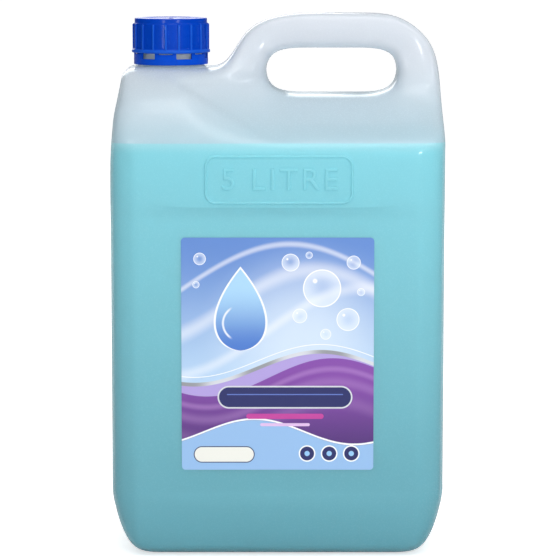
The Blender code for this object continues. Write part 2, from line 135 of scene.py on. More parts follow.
class CanSizes(bpy.types.PropertyGroup):
    width: length("Width", "Width of the can", CAN_HIGH.x - CAN_LOW.x)
    depth: length("Depth", "Depth of the can", CAN_HIGH.y - CAN_LOW.y)
    wall: length("Wall", "Thickness of the blown wall", 0.0012)
    corner: length("Corner", "Reach of the rounded upright corners", 0.022)
    bow: length("Bow", "How far the bands bow out in the middle", 0.0020)
    recess: length("Panel recess", "How far the label panel lies behind the bands", 0.0030)
    ledge: length("Ledge height", "Height of the ledge above the label panel", 0.1931)
    ridge: length("Ridge height", "Height where the front turns into the sloping flank", 0.2285)
    shoulder: length("Shoulder height", "Height of the flat shoulder below the neck", 0.2654)
    top: length("Handle top", "Height of the top of the handle", 0.2945)
    grip_centre: length("Grip centre", "Place of the middle of the grip hole along X", 0.0300)
    grip_height: length("Grip height", "Height of the middle of the grip hole", 0.2631)
    grip_length: length("Grip length", "Length of the grip hole", 0.0726)
    grip_opening: length("Grip opening", "Height of the grip hole", 0.0254)
    grip_thickness: length("Grip thickness", "Thickness of the handle", 0.0290)
    fill: length("Fill height", "Height of the soap in the can", 0.2277)
    gap: length("Gap", "Clearance between pieces that touch", 0.0003)
    emboss: length("Emboss", "How far the moulded lettering stands proud", 0.0008)
    fineness: IntProperty(name="Fineness", description="Subdivisions of the can", default=3, min=1, max=4)


class CanColours(bpy.types.PropertyGroup):
    polythene: colour("Polythene", "Milky natural polythene, at the handle", (0.84, 0.87, 0.93))
    # Painted light: the bluish glow that the soap casts up the wall just above the fill line.
    soap_glow_tint: colour("Filmed polythene", "Milky wall wetted by soap, above the fill line", (0.56, 0.77, 0.86))
    # Painted shade: the wall with soap behind it is coloured lighter at the fill line and darker towards the
    # base, as if lit from above.
    wet_lit_top: colour("Wall at the fill line", "Milky wall with soap behind it, high up", (0.39, 0.88, 0.96))
    wet_shaded_base: colour("Wall at the base", "Milky wall with soap behind it, near the base", (0.22, 0.58, 0.67))
    clearness: share("Clearness", "How much the wall lets the eye through", 0.26)
    # Painted shade: the soap is coloured lighter near the fill line and darker near the base, as if lit from
    # above.
    soap_lit_top: colour("Soap near the top", "Pearly blue soap, near the fill line", (0.20, 0.70, 0.80))
    soap_shaded_base: colour("Soap near the base", "Pearly blue soap, near the base", (0.08, 0.45, 0.53))


class CapSizes(bpy.types.PropertyGroup):
    skirt: length("Skirt radius", "Radius of the cap's skirt between its ribs", 0.0206)
    rib: length("Rib height", "How far the grip ribs stand proud of the skirt", 0.0007)
    rib_width: length("Rib width", "Width of a grip rib at its foot", 0.0018)
    ribs: IntProperty(name="Ribs", description="Number of grip ribs", default=18, min=3)
    flange: length("Flange radius", "Radius of the flange at the foot of the cap", 0.0218)
    land: length("Land radius", "Radius of the smooth band at the top of the cap", 0.0201)
    inside: length("Inside radius", "Radius inside the cap", 0.0189)
    crown: length("Crown", "Thickness of the cap's top", 0.0012)
    ring: length("Ring radius", "Radius of the tamper ring", 0.0206)
    ring_wall: length("Ring wall", "Thickness of the tamper ring", 0.0011)
    ring_lip: length("Ring lip", "Radius inside the lip that holds the tamper ring", 0.0185)
    windows: IntProperty(name="Windows", description="Number of windows in the tamper ring", default=6, min=1)


class CapColours(bpy.types.PropertyGroup):
    blue: colour("Cap", "Royal blue of the cap", (0.0003, 0.050, 0.47))
    # Rubbed blue of real wear, and also the colour of the painted highlight on the cap's rib crests.
    wear_and_highlight: colour("Worn edges", "Rubbed blue on the edges of the ribs", (0.02, 0.16, 0.78))
    ring_blue: colour("Tamper ring", "Blue of the tamper ring", (0.0005, 0.072, 0.62))
    foam: colour("Liner", "White foam of the liner", (0.86, 0.87, 0.86))


class LabelColours(bpy.types.PropertyGroup):
    sky_high: colour("Sky, top", "Blue at the top of the label", ink(96, 138, 208))
    sky_low: colour("Sky, foot", "Blue in the middle of the label", ink(186, 216, 243))
    lilac: colour("Lilac wave", "Pale wave behind the purple one", ink(178, 160, 222))
    purple_high: colour("Purple, top", "Top of the purple wave", ink(132, 70, 168))
    purple_low: colour("Purple, foot", "Foot of the purple wave", ink(64, 28, 108))
    silver: colour("Silver", "Silver ribbon along the wave", ink(214, 218, 226))
    navy: colour("Navy", "Blank name panel", ink(22, 30, 98))
    magenta: colour("Magenta", "Blank caption bars", ink(196, 60, 156))
    cream: colour("Cream", "Blank variant panel", ink(240, 240, 232))


class StageSettings(bpy.types.PropertyGroup):
    floor: colour("Floor", "Colour of the floor", (0.90, 0.90, 0.90))
    glow: FloatProperty(
        name="Floor glow", description="How much the table is lifted to white", default=0.60, min=0.0
    )
    front: FloatProperty(name="Front light", description="Soft light from the front", default=1.06, min=0.0)
    behind: FloatProperty(name="Back light", description="Soft light from behind", default=0.52, min=0.0)
    target: length("Target height", "Height that the camera looks at", 0.1452)
    distance: length("Distance", "Distance of the camera", 1.57205)
    pitch: FloatProperty(
        name="Pitch", description="How far the camera looks down", default=radians(7.5), subtype="ANGLE"
    )


# Modelling helpers


def deselect():
    if bpy.context.object and bpy.context.object.mode != "OBJECT":
        bpy.ops.object.mode_set(mode="OBJECT")
    bpy.ops.object.select_all(action="DESELECT")


def make_active(piece):
    deselect()
    piece.select_set(True)
    bpy.context.view_layer.objects.active = piece


def named(name):
    """Names the object just added, and its mesh."""
    piece = bpy.context.object
    piece.name = name
    piece.data.name = name
    return piece


def edit(piece):
    make_active(piece)
    bpy.ops.object.mode_set(mode="EDIT")
    bpy.ops.mesh.select_mode(type="VERT")


def object_mode():
    bpy.ops.object.mode_set(mode="OBJECT")


def place_in_mesh(piece):
    make_active(piece)
    bpy.ops.object.transform_apply(location=True, rotation=True, scale=True)


def finish_with(piece, kind, **settings):
    """Adds a modifier and applies it."""
    make_active(piece)
    modifier = piece.modifiers.new(kind.title(), kind)
    for setting, value in settings.items():
        setattr(modifier, setting, value)
    bpy.ops.object.modifier_apply(modifier=modifier.name)


def combine(piece, tool, operation):
    """Joins a tool to the piece or cuts it out, and takes the tool away."""
    finish_with(
        piece, "BOOLEAN", object=tool, operation=operation, solver="EXACT", material_mode="TRANSFER"
    )
    bpy.data.objects.remove(tool, do_unlink=True)


def select_faces(piece, wanted):
    """Selects the faces for which wanted(face) holds, and no other element."""
    edit(piece)
    bpy.ops.mesh.select_all(action="DESELECT")
    bpy.ops.mesh.select_mode(type="FACE")
    object_mode()
    for face in piece.data.polygons:
        face.select = wanted(face)
    bpy.ops.object.mode_set(mode="EDIT")


def smooth_by_angle(piece, degrees=35):
    make_active(piece)
    bpy.ops.object.shade_smooth_by_angle(angle=radians(degrees))


def tidy_surface(piece, reach=0.000001):
    """Merges doubles and turns all faces outwards."""
    edit(piece)
    bpy.ops.mesh.select_all(action="SELECT")
    bpy.ops.mesh.remove_doubles(threshold=reach)
    bpy.ops.mesh.normals_make_consistent(inside=False)
    object_mode()


def turned(name, profile, steps, centre):
    """Spins a closed outline of (radius, height) points about the upright axis at centre."""
    deselect()
    bpy.ops.mesh.primitive_circle_add(vertices=len(profile), radius=1.0, fill_type="NOTHING")
    piece = named(name)
    for corner, (radius, height) in zip(piece.data.vertices, profile):
        corner.co = (radius, 0.0, height)
    edit(piece)
    bpy.ops.mesh.select_all(action="SELECT")
    bpy.ops.mesh.spin(steps=steps, angle=2 * pi, center=(0, 0, 0), axis=(0, 0, 1))
    object_mode()
    tidy_surface(piece)
    edit(piece)
    bpy.ops.mesh.select_all(action="SELECT")
    bpy.ops.mesh.dissolve_degenerate(threshold=0.0000005)
    object_mode()
    piece.location = centre
    place_in_mesh(piece)
    return piece


def rounded(corners, radius, steps=3):
    """An outline of (radius, height) points with its outer corners rounded off."""
    points = []
    count = len(corners)
    for number, corner in enumerate(corners):
        before = Vector(corners[number - 1])
        here = Vector(corner)
        after = Vector(corners[(number + 1) % count])
        if here.x < 0.0001:
            points.append(tuple(here))
            continue
        reach = min(radius, (before - here).length * 0.45, (after - here).length * 0.45)
        start = here + (before - here).normalized() * reach
        end = here + (after - here).normalized() * reach
        for step in range(steps + 1):
            t = step / steps
            bend = start * (1 - t) ** 2 + here * 2 * t * (1 - t) + end * t**2
            points.append(tuple(bend))
    return points


def keep(piece, node, body=ROOT):
    """Hands a finished piece to the frame, in place of its plain node."""
    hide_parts(node)
    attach(piece, body)


# Finishes


class Finish:
    """A material whose nodes are added one by one and joined as they come."""

    def __init__(self, name):
        self.material = bpy.data.materials.new(name)
        self.material.use_nodes = True
        self.tree = self.material.node_tree
        self.tree.nodes.clear()
        self.output = self.tree.nodes.new("ShaderNodeOutputMaterial")
        self.place = self.tree.nodes.new("ShaderNodeTexCoord").outputs["Object"]

    def node(self, kind, settings=None, **inputs):
        made = self.tree.nodes.new(kind)
        for setting, value in (settings or {}).items():
            setattr(made, setting, value)
        for name, value in inputs.items():
            self.join(value, made.inputs[name.replace("_", " ")])
        return made

    def join(self, value, socket):
        if isinstance(value, bpy.types.NodeSocket):
            self.tree.links.new(value, socket)
        elif isinstance(value, (tuple, list)) or hasattr(value, "__len__"):
            value = tuple(value)
            if socket.type == "RGBA" and len(value) == 3:
                value += (1.0,)
            socket.default_value = value
        else:
            socket.default_value = value

    def math(self, operation, *values, clamp=False):
        made = self.node("ShaderNodeMath", {"operation": operation, "use_clamp": clamp})
        for value, socket in zip(values, made.inputs):
            self.join(value, socket)
        return made.outputs[0]

    def vector(self, operation, *values):
        made = self.node("ShaderNodeVectorMath", {"operation": operation})
        sockets = [socket for socket in made.inputs if socket.name != "Scale"]
        for value, socket in zip(values, sockets):
            self.join(value, socket)
        return made.outputs["Value" if operation in ("LENGTH", "DISTANCE") else "Vector"]

    def blend(self, amount, first, second, kind="MIX"):
        made = self.node("ShaderNodeMix", {"data_type": "RGBA", "blend_type": kind})
        self.join(amount, made.inputs[0])
        self.join(first, made.inputs[6])
        self.join(second, made.inputs[7])
        return made.outputs[2]

    def ramp(self, value, low, high, start=0.0, end=1.0, smooth=True):
        """Maps value from low..high to start..end, held at both ends."""
        made = self.node("ShaderNodeMapRange", {"interpolation_type": "SMOOTHSTEP" if smooth else "LINEAR"})
        for number, entry in enumerate((value, low, high, start, end)):
            self.join(entry, made.inputs[number])
        return made.outputs[0]

    def noise(self, scale, detail=2.0, roughness=0.5, place=None):
        made = self.node(
            "ShaderNodeTexNoise", Vector=place or self.place, Scale=scale, Detail=detail, Roughness=roughness
        )
        return made.outputs["Fac"]

    def bump(self, height, strength, distance, under=None):
        made = self.node("ShaderNodeBump", Strength=strength, Distance=distance, Height=height)
        if under:
            self.join(under, made.inputs["Normal"])
        return made.outputs["Normal"]

    def parts(self):
        made = self.node("ShaderNodeSeparateXYZ", Vector=self.place)
        return made.outputs

    def below(self, value, edge, soft):
        """One where value is under edge, none above it."""
        return self.ramp(value, edge - soft, edge, 1.0, 0.0)

    def disc(self, spot, centre, radius, soft=0.15):
        away = self.vector("DISTANCE", spot, (centre[0], centre[1], 0.0))
        return self.below(away, radius, soft)

    def circle(self, spot, centre, radius, line, soft=0.12):
        away = self.vector("DISTANCE", spot, (centre[0], centre[1], 0.0))
        off = self.math("ABSOLUTE", self.math("SUBTRACT", away, radius))
        return self.below(off, line / 2, soft)

    def panel(self, spot, centre, half, corner, soft=0.12):
        """A rectangle with rounded corners."""
        off = self.vector("ABSOLUTE", self.vector("SUBTRACT", spot, (centre[0], centre[1], 0.0)))
        beyond = self.vector("SUBTRACT", off, (half[0] - corner, half[1] - corner, 0.0))
        outside = self.vector("MAXIMUM", beyond, (0.0, 0.0, 0.0))
        return self.below(self.vector("LENGTH", outside), corner, soft)

    def gloss(self, **inputs):
        return self.node("ShaderNodeBsdfPrincipled", **inputs).outputs[0]

    def done(self, surface):
        self.join(surface, self.output.inputs["Surface"])
        return self.material


# The can's form


def column_places(sizes):
    """Where the cage's columns stand across the can, closer together at its rounded corners."""
    half = sizes.width / 2
    inner = half - sizes.corner
    return [-half] + [inner * place for place in COLUMN_SPREAD] + [half]


def lower_rows(sizes):
    """The base, the bottom band, the label panel and the band above it."""
    half_width = sizes.width / 2
    half_depth = sizes.depth / 2
    panel = half_depth - sizes.recess
    band = half_depth - sizes.bow
    bands = (
        (0.0, band - BASE_FRONT_INSET, False, BASE_SIDE_INSET),
        (BASE_BAND_TOP, band - 0.0005, True, 0.0),
        (PANEL_LOW, panel, False, 0.0),
        (PANEL_LOW + PANEL_LEVEL, panel, False, 0.0),
        (PANEL_HIGH - PANEL_LEVEL, panel, False, 0.0),
        (PANEL_HIGH, panel, False, 0.0),
        (sizes.ledge, band, True, 0.0),
        (BAND_HIGH, band, True, 0.0),
    )
    rows = []
    for height, depth, bowed, inset in bands:
        row = []
        for x in column_places(sizes):
            proud = sizes.bow * (1 - (x / half_width) ** 2) if bowed else 0.0
            row.append((x * (half_width - inset) / half_width, depth + proud, height))
        rows.append(row)
    return rows


def upper_rows(sizes):
    """The ridge, the flank, the foot and head of the grip hole, and the top outline."""
    half_depth = sizes.depth / 2
    side = sizes.width / 2
    shoulder = sizes.shoulder
    top = sizes.top
    hole_left = sizes.grip_centre - sizes.grip_length / 2 - 0.0010
    hole_right = sizes.grip_centre + sizes.grip_length / 2 + 0.0010
    hole_low = sizes.grip_height - sizes.grip_opening / 2
    hole_high = sizes.grip_height + sizes.grip_opening / 2
    flat_left = sizes.grip_centre - 0.0125
    flat_right = sizes.grip_centre + 0.0125
    neck_left = NECK_X - NECK_PAD_LEFT
    neck_right = NECK_X + NECK_PAD_RIGHT
    grip = sizes.grip_thickness / 2 + 0.0005

    ridge_x = column_places(sizes)
    foot_x = [-side + 0.0035, neck_left, neck_right, -0.0280]
    foot_x += [hole_left, flat_left, flat_right, hole_right, side - 0.0008]
    outline = [
        [(x, sizes.ridge) for x in ridge_x],
        [((a + b) / 2, FLANK_LEVEL) for a, b in zip(ridge_x, foot_x)],
        [(x, hole_low) for x in foot_x],
        [
            (-side + 0.0050, shoulder - 0.0085),
            (neck_left, shoulder - 0.0080),
            (neck_right, shoulder - 0.0080),
            (-0.0265, shoulder - 0.0060),
            (hole_left, hole_high),
            (flat_left, hole_high),
            (flat_right, hole_high),
            (hole_right, hole_high),
            (side - 0.0022, hole_high - 0.0047),
        ],
        [
            (-side + 0.0058, shoulder + 0.0008),
            (neck_left, shoulder),
            (neck_right, shoulder),
            (-0.0274, shoulder - 0.0018),
            (-0.0185, top - 0.0057),
            (0.0077, top + 0.0012),
            (flat_right, top),
            (hole_right - 0.0027, top + 0.0006),
            (side - 0.0098, top - 0.0098),
        ],
    ]
    outline[0][0] = (-side + 0.0012, sizes.ridge)
    outline[2][0] = (-side + 0.0035, shoulder - 0.0174)
    tower = (half_depth - 0.001, 0.0620, 0.0560, 0.0460, 0.0280)
    flank = (half_depth - 0.001, 0.0410, 0.0200, grip, grip)
    rows = []
    for row, tower_depth, flank_depth in zip(outline, tower, flank):
        depths = [flank_depth + part * (tower_depth - flank_depth) for part in TOWER_SHARE]
        rows.append([(x, depth, z) for (x, z), depth in zip(row, depths)])
    return rows


def grow_rim(cage, depth_at):
    """Extrudes every open edge towards the parting plane."""
    edit(cage)
    bpy.ops.mesh.select_mode(type="EDGE")
    bpy.ops.mesh.select_all(action="DESELECT")
    bpy.ops.mesh.select_non_manifold(
        extend=False,
        use_wire=False,
        use_boundary=True,
        use_multi_face=False,
        use_non_contiguous=False,
        use_verts=False,
    )
    bpy.ops.mesh.extrude_edges_move()
    object_mode()
    for corner in cage.data.vertices:
        if corner.select:
            corner.co.y = -depth_at(-corner.co.y)


def can_form(name, sizes, fineness):
    """The can's outer skin without its neck: a cage of the front half, mirrored and smoothed."""
    deselect()
    bpy.ops.mesh.primitive_grid_add(x_subdivisions=COLUMNS - 1, y_subdivisions=ROWS - 1, size=1.0)
    cage = named(name)
    low_column, high_column = HOLE_COLUMNS
    low_row, high_row = HOLE_ROWS

    def in_hole(face):
        column = (face.center.x + 0.5) * (COLUMNS - 1)
        row = (face.center.y + 0.5) * (ROWS - 1)
        return low_column < column < high_column and low_row < row < high_row

    places = lower_rows(sizes) + upper_rows(sizes)
    seats = []
    for corner in cage.data.vertices:
        column = round((corner.co.x + 0.5) * (COLUMNS - 1))
        row = round((corner.co.y + 0.5) * (ROWS - 1))
        seats.append((column, row))
    crease = cage.data.attributes.new("crease_edge", "FLOAT", "EDGE")
    for line in cage.data.edges:
        (first_column, first_row), (last_column, last_row) = (seats[number] for number in line.vertices)
        on_ledge = first_row == last_row == LEDGE_ROW
        within = 1 <= min(first_column, last_column) and max(first_column, last_column) <= COLUMNS - 2
        crease.data[line.index].value = 1.0 if on_ledge and within else 0.0
    hole = [in_hole(face) for face in cage.data.polygons]
    for corner, (column, row) in zip(cage.data.vertices, seats):
        x, depth, z = places[row][column]
        corner.co = (x, -depth, z)
    select_faces(cage, lambda face: hole[face.index])
    bpy.ops.mesh.delete(type="FACE")
    object_mode()

    grow_rim(cage, lambda depth: max(depth - sizes.corner, RIM_SHARE * depth))
    grow_rim(cage, lambda depth: 0.0)
    finish_with(cage, "MIRROR", use_axis=(False, True, False), merge_threshold=NEAR)
    finish_with(cage, "SUBSURF", levels=fineness, render_levels=fineness)
    tidy_surface(cage)
    edge_front_faces(cage)
    return cage


def edge_front_faces(form):
    """Breaks the rounded corners slightly where the front and back faces end."""
    face_end, face_top, fade_height, slope, side_depth = 0.0770, 0.2270, 0.0060, 0.24, 0.0350
    for corner in form.data.vertices:
        x, y, z = corner.co
        beyond = max(abs(x) - face_end, 0.0)
        fade = min(max((face_top - z) / fade_height, 0.0), 1.0) * min(abs(y) / side_depth, 1.0)
        inward = slope * beyond * fade
        corner.co.y -= inward if y > 0 else -inward


def push_up_base(form):
    """Sinks the middle of the base inside a flat rim."""
    half_x, half_y, slope, rise = 0.0557, 0.0310, 0.0040, 0.0025
    for corner in form.data.vertices:
        if corner.co.z > 0.00002:
            continue
        out_x = max(abs(corner.co.x) - (half_x - slope), 0.0)
        out_y = max(abs(corner.co.y) - (half_y - slope), 0.0)
        t = 1 - min((out_x**2 + out_y**2) ** 0.5 / slope, 1.0)
        corner.co.z += rise * t * t * (3 - 2 * t)


def move_inward(form, distance):
    """Moves the whole skin in along its normals."""
    skin = bmesh.new()
    skin.from_mesh(form.data)
    skin.normal_update()
    moved = [corner.co - corner.normal * distance * corner.calc_shell_factor() for corner in skin.verts]
    for corner, place in zip(skin.verts, moved):
        corner.co = place
    skin.to_mesh(form.data)
    skin.free()


def surface_depth(form, x, z):
    """Where the front of a form stands at (x, z), looked at from the front."""
    hit, place, _, _ = form.ray_cast(Vector((x, -1.0, z)), Vector((0.0, 1.0, 0.0)))
    if not hit:
        raise RuntimeError(f"nothing of {form.name} stands at x {x:.4f}, z {z:.4f}")
    return place.y


def lay_on_front(relief, form):
    """Bends a flat relief, whose face stands at y < 0, onto the front of a form."""
    for corner in relief.data.vertices:
        corner.co.y += surface_depth(form, corner.co.x, corner.co.z)


def step_back_flank(form, step):
    """Sets the flank back behind the curved edge of the tower below the neck, on both sides of the can."""
    edge = ((-0.0800, 0.2700), (-0.0544, 0.2557), (-0.0488, 0.2490), (-0.0417, 0.2413))
    edge += ((-0.0352, 0.2363), (-0.0281, 0.2317), (-0.0201, 0.2285), (0.0300, 0.2255))
    blend_width = 0.0036
    for corner in form.data.vertices:
        x, y, z = corner.co
        if not (0.2270 < z < 0.2640 and -0.0700 < x < 0.0100):
            continue
        beyond = min(
            signed_distance((x, z), first, last) for first, last in zip(edge, edge[1:])
        )
        t = min(max(beyond / blend_width, 0.0), 1.0)
        fade = min(max((0.0100 - x) / 0.0300, 0.0), 1.0) * min((0.2640 - z) / 0.0060, 1.0)
        fade *= min((z - 0.2270) / 0.0030, 1.0) * min(max(beyond, 0.0) * -25.0 + 1.0, 1.0)
        inward = step * t * t * (3 - 2 * t) * max(fade, 0.0) * min(abs(y) / 0.015, 1.0)
        corner.co.y -= inward if y > 0 else -inward


def signed_distance(point, first, last):
    """How far a point lies to the upper right of the line through two others."""
    along_x, along_z = last[0] - first[0], last[1] - first[1]
    run = (along_x**2 + along_z**2) ** 0.5
    return ((point[1] - first[1]) * along_x - (point[0] - first[0]) * along_z) / run


# Finishes of the can and the soap


def polythene_wall(colours, fill):
    """Milky blown polythene: satin skin, faint flow waves and the mould's parting line.

    Soap behind the wall colours it up to the fill line. Painted shade darkens that colour towards the base, a
    painted band of light lies just under the fill line and a painted bluish glow from the soap fades out
    above it.
    """
    finish = Finish("milky_polythene")
    x, y, z = finish.parts()
    waves = finish.noise(38.0, 2.0, 0.4)
    grain = finish.noise(1400.0, 2.0, 0.6)
    seam = finish.ramp(finish.math("ABSOLUTE", y), 0.00015, 0.00055, 1.0, 0.0)
    skin = finish.bump(waves, 0.5, 0.0012)
    skin = finish.bump(grain, 0.12, 0.0001, skin)
    skin = finish.bump(seam, 0.6, 0.0003, skin)
    cloud = finish.ramp(finish.noise(22.0, 3.0), 0.3, 0.7)
    # Painted light: the bluish glow from the soap fades out upwards above the fill line.
    film = finish.ramp(z, fill - 0.01, fill + 0.045)
    dry = finish.blend(film, colours.soap_glow_tint, colours.polythene)
    milky = finish.blend(cloud, dry, finish.blend(0.06, dry, (0.5, 0.6, 0.7)))
    wet = finish.below(z, fill, 0.0008)
    # Painted shade: the soaked wall darkens from the fill line down to the base.
    soaked = finish.blend(finish.ramp(z, 0.02, fill, smooth=False), colours.wet_shaded_base, colours.wet_lit_top)
    # Painted light: a paler band on the wall just under the fill line.
    painted_light_at_fill = finish.ramp(z, fill - 0.0065, fill, 0.0, 0.35)
    soaked = finish.blend(painted_light_at_fill, soaked, (0.78, 0.95, 0.98))
    milky = finish.blend(wet, milky, soaked)
    thin = finish.blend(wet, (0.90, 0.95, 0.98), soaked)
    satin = finish.gloss(
        Base_Color=milky,
        Roughness=finish.ramp(grain, 0.2, 0.8, 0.22, 0.30),
        Normal=skin,
        Specular_IOR_Level=0.40,
        Coat_Weight=0.45,
        Coat_Roughness=0.05,
    )
    glow = finish.node("ShaderNodeBsdfTranslucent", Color=thin, Normal=skin).outputs[0]
    clear = finish.node("ShaderNodeBsdfTransparent", Color=(0.97, 0.99, 1.0)).outputs[0]
    body = finish.node("ShaderNodeMixShader")
    body.inputs[0].default_value = 0.30
    finish.join(satin, body.inputs[1])
    finish.join(glow, body.inputs[2])
    wall = finish.node("ShaderNodeMixShader")
    wall.inputs[0].default_value = colours.clearness
    finish.join(body.outputs[0], wall.inputs[1])
    finish.join(clear, wall.inputs[2])
    return finish.done(wall.outputs[0])


def polythene_inside(colours, fill):
    """The inner face of the wall, which mostly lets the soap show."""
    finish = Finish("polythene_inside")
    waves = finish.noise(60.0, 2.0)
    x, y, z = finish.parts()
    # Painted shade: the soaked inner face darkens from the fill line down to the base.
    soaked = finish.blend(finish.ramp(z, 0.02, fill, smooth=False), colours.wet_shaded_base, colours.wet_lit_top)
    satin = finish.gloss(
        Base_Color=finish.blend(finish.below(z, fill, 0.0008), colours.polythene, soaked),
        Roughness=finish.ramp(waves, 0.2, 0.8, 0.35, 0.5),
    )
    clear = finish.node("ShaderNodeBsdfTransparent", Color=(1.0, 1.0, 1.0)).outputs[0]
    wall = finish.node("ShaderNodeMixShader")
    wall.inputs[0].default_value = 0.60
    finish.join(satin, wall.inputs[1])
    finish.join(clear, wall.inputs[2])
    return finish.done(wall.outputs[0])


def pearly_soap(colours, fill):
    """Blue soap with a faint pearly swirl, with painted shade that darkens it towards the base."""
    finish = Finish("pearly_blue_soap")
    x, y, z = finish.parts()
    # Painted shade: the soap's colour darkens towards the base.
    height = finish.ramp(z, 0.0, fill, smooth=False)
    body = finish.blend(height, colours.soap_shaded_base, colours.soap_lit_top)
    swirl_place = finish.node("ShaderNodeMapping", Vector=finish.place, Scale=(1.0, 1.0, 3.0)).outputs[0]
    swirl = finish.ramp(finish.noise(26.0, 4.0, 0.6, swirl_place), 0.35, 0.75, 0.0, 0.22)
    pearl = finish.blend(swirl, body, (0.45, 0.86, 0.92))
    soap = finish.gloss(
        Base_Color=pearl,
        Roughness=finish.ramp(finish.noise(90.0), 0.3, 0.7, 0.22, 0.34),
        Subsurface_Weight=0.0,
    )
    return finish.done(soap)


# Operators


class PACK_OT_can(bpy.types.Operator):
    """Blow the can with its handle, neck, thread and moulded capacity mark"""

    bl_idname = "pack.can"
    bl_label = "Can"

    def execute(self, context):
        sizes = context.scene.can_sizes
        colours = context.scene.can_colours
        skin = can_form("can", sizes, sizes.fineness)
        push_up_base(skin)
        step_back_flank(skin, FLANK_STEP)
        skin.data.materials.append(polythene_wall(colours, sizes.fill))

        mark = capacity_mark(skin, sizes)
        combine(skin, mark, "UNION")
        combine(skin, neck_form(sizes), "UNION")

        hollow = can_form("can_inside", sizes, 2)
        push_up_base(hollow)
        step_back_flank(hollow, FLANK_STEP)
        move_inward(hollow, sizes.wall)
        hollow.data.materials.append(polythene_inside(colours, sizes.fill))
        combine(hollow, bore_form(sizes), "UNION")
        combine(skin, hollow, "DIFFERENCE")
        smooth_by_angle(skin, 20)
        keep(skin, "bottle")
        return {"FINISHED"}


def neck_form(sizes):
    """The neck's outside with its rounded lip, the ring that holds the tamper band, and the thread."""
    low = sizes.shoulder - sizes.wall
    mouth = sizes.shoulder + NECK_HEIGHT
    outline = [
        (0.0, low),
        (0.0196, low),
        (0.0196, sizes.shoulder - 0.0002),
        (0.0178, sizes.shoulder + 0.0010),
        (NECK_RADIUS, sizes.shoulder + 0.0022),
        (NECK_RADIUS, sizes.shoulder + 0.0030),
        (0.0190, sizes.shoulder + 0.0030),
        (0.0190, sizes.shoulder + 0.0037),
        (0.0175, sizes.shoulder + 0.0046),
        (NECK_RADIUS, mouth - 0.0007),
        (0.0167, mouth),
        (0.0, mouth),
    ]
    neck = turned("neck", outline, 96, (NECK_X, 0.0, 0.0))
    thread = thread_ridge("neck_thread", NECK_RADIUS, NECK_CREST, sizes.shoulder + THREAD_START)
    combine(neck, thread, "UNION")
    return neck


def bore_form(sizes):
    """The round way through the neck."""
    deselect()
    bpy.ops.mesh.primitive_cylinder_add(
        vertices=96,
        radius=BORE_RADIUS,
        depth=0.0340,
        location=(NECK_X, 0.0, sizes.shoulder + 0.0110),
    )
    bore = named("bore")
    place_in_mesh(bore)
    return bore


def thread_ridge(name, root, crest, start):
    """A helical ridge, one and three quarter turns, that stands on a wall of radius root."""
    outward = 1 if crest > root else -1
    buried = root - outward * 0.0006
    section = (
        (buried, -THREAD_ROOT_WIDTH / 2),
        (crest, -THREAD_CREST_WIDTH / 2),
        (crest, THREAD_CREST_WIDTH / 2),
        (buried, THREAD_ROOT_WIDTH / 2),
    )
    deselect()
    bpy.ops.mesh.primitive_circle_add(vertices=4, radius=1.0, fill_type="NGON")
    ridge = named(name)
    for corner, (radius, height) in zip(ridge.data.vertices, section):
        corner.co = (radius, 0.0, height)
    finish_with(
        ridge,
        "SCREW",
        axis="Z",
        angle=2 * pi * THREAD_TURNS,
        steps=THREAD_STEPS,
        render_steps=THREAD_STEPS,
        screw_offset=THREAD_PITCH * THREAD_TURNS,
        use_merge_vertices=False,
    )
    close_ends(ridge)
    ridge.location = (NECK_X, 0.0, start)
    place_in_mesh(ridge)
    return ridge


def close_ends(piece):
    """Fills the open ends of a swept piece and turns its faces outwards."""
    edit(piece)
    bpy.ops.mesh.select_all(action="SELECT")
    bpy.ops.mesh.remove_doubles(threshold=0.0000005)
    bpy.ops.mesh.select_all(action="DESELECT")
    bpy.ops.mesh.select_non_manifold(extend=False, use_wire=False, use_multi_face=False, use_verts=False)
    bpy.ops.mesh.edge_face_add()
    bpy.ops.mesh.select_all(action="SELECT")
    bpy.ops.mesh.normals_make_consistent(inside=False)
    object_mode()


def capacity_mark(skin, sizes):
    """The moulded frame and the words 5 LITRE on the upper band."""
    deselect()
    bpy.ops.object.text_add(rotation=(pi / 2, 0.0, 0.0))
    words = named("capacity_words")
    words.data.body = "5 LITRE"
    words.data.align_x = "CENTER"
    words.data.align_y = "CENTER"
    words.data.size = 0.0168
    words.data.space_character = 1.18
    words.data.extrude = sizes.emboss * 0.5
    words.data.bevel_depth = sizes.emboss * 0.5
    words.data.bevel_resolution = 2
    words.data.offset = -sizes.emboss * 0.4
    words.data.resolution_u = 8
    bpy.ops.object.convert(target="MESH")
    words = bpy.context.object
    words.location = (0.0010, 0.0, 0.2076)
    place_in_mesh(words)
    tidy_surface(words)
    lay_on_front(words, skin)

    border = rounded_frame("capacity_frame", 0.0803, 0.0266, 0.0062, 0.0017, sizes.emboss)
    border.location = (0.0007, 0.0, 0.2080)
    place_in_mesh(border)
    lay_on_front(border, skin)
    make_active(border)
    words.select_set(True)
    bpy.ops.object.join()
    return bpy.context.object


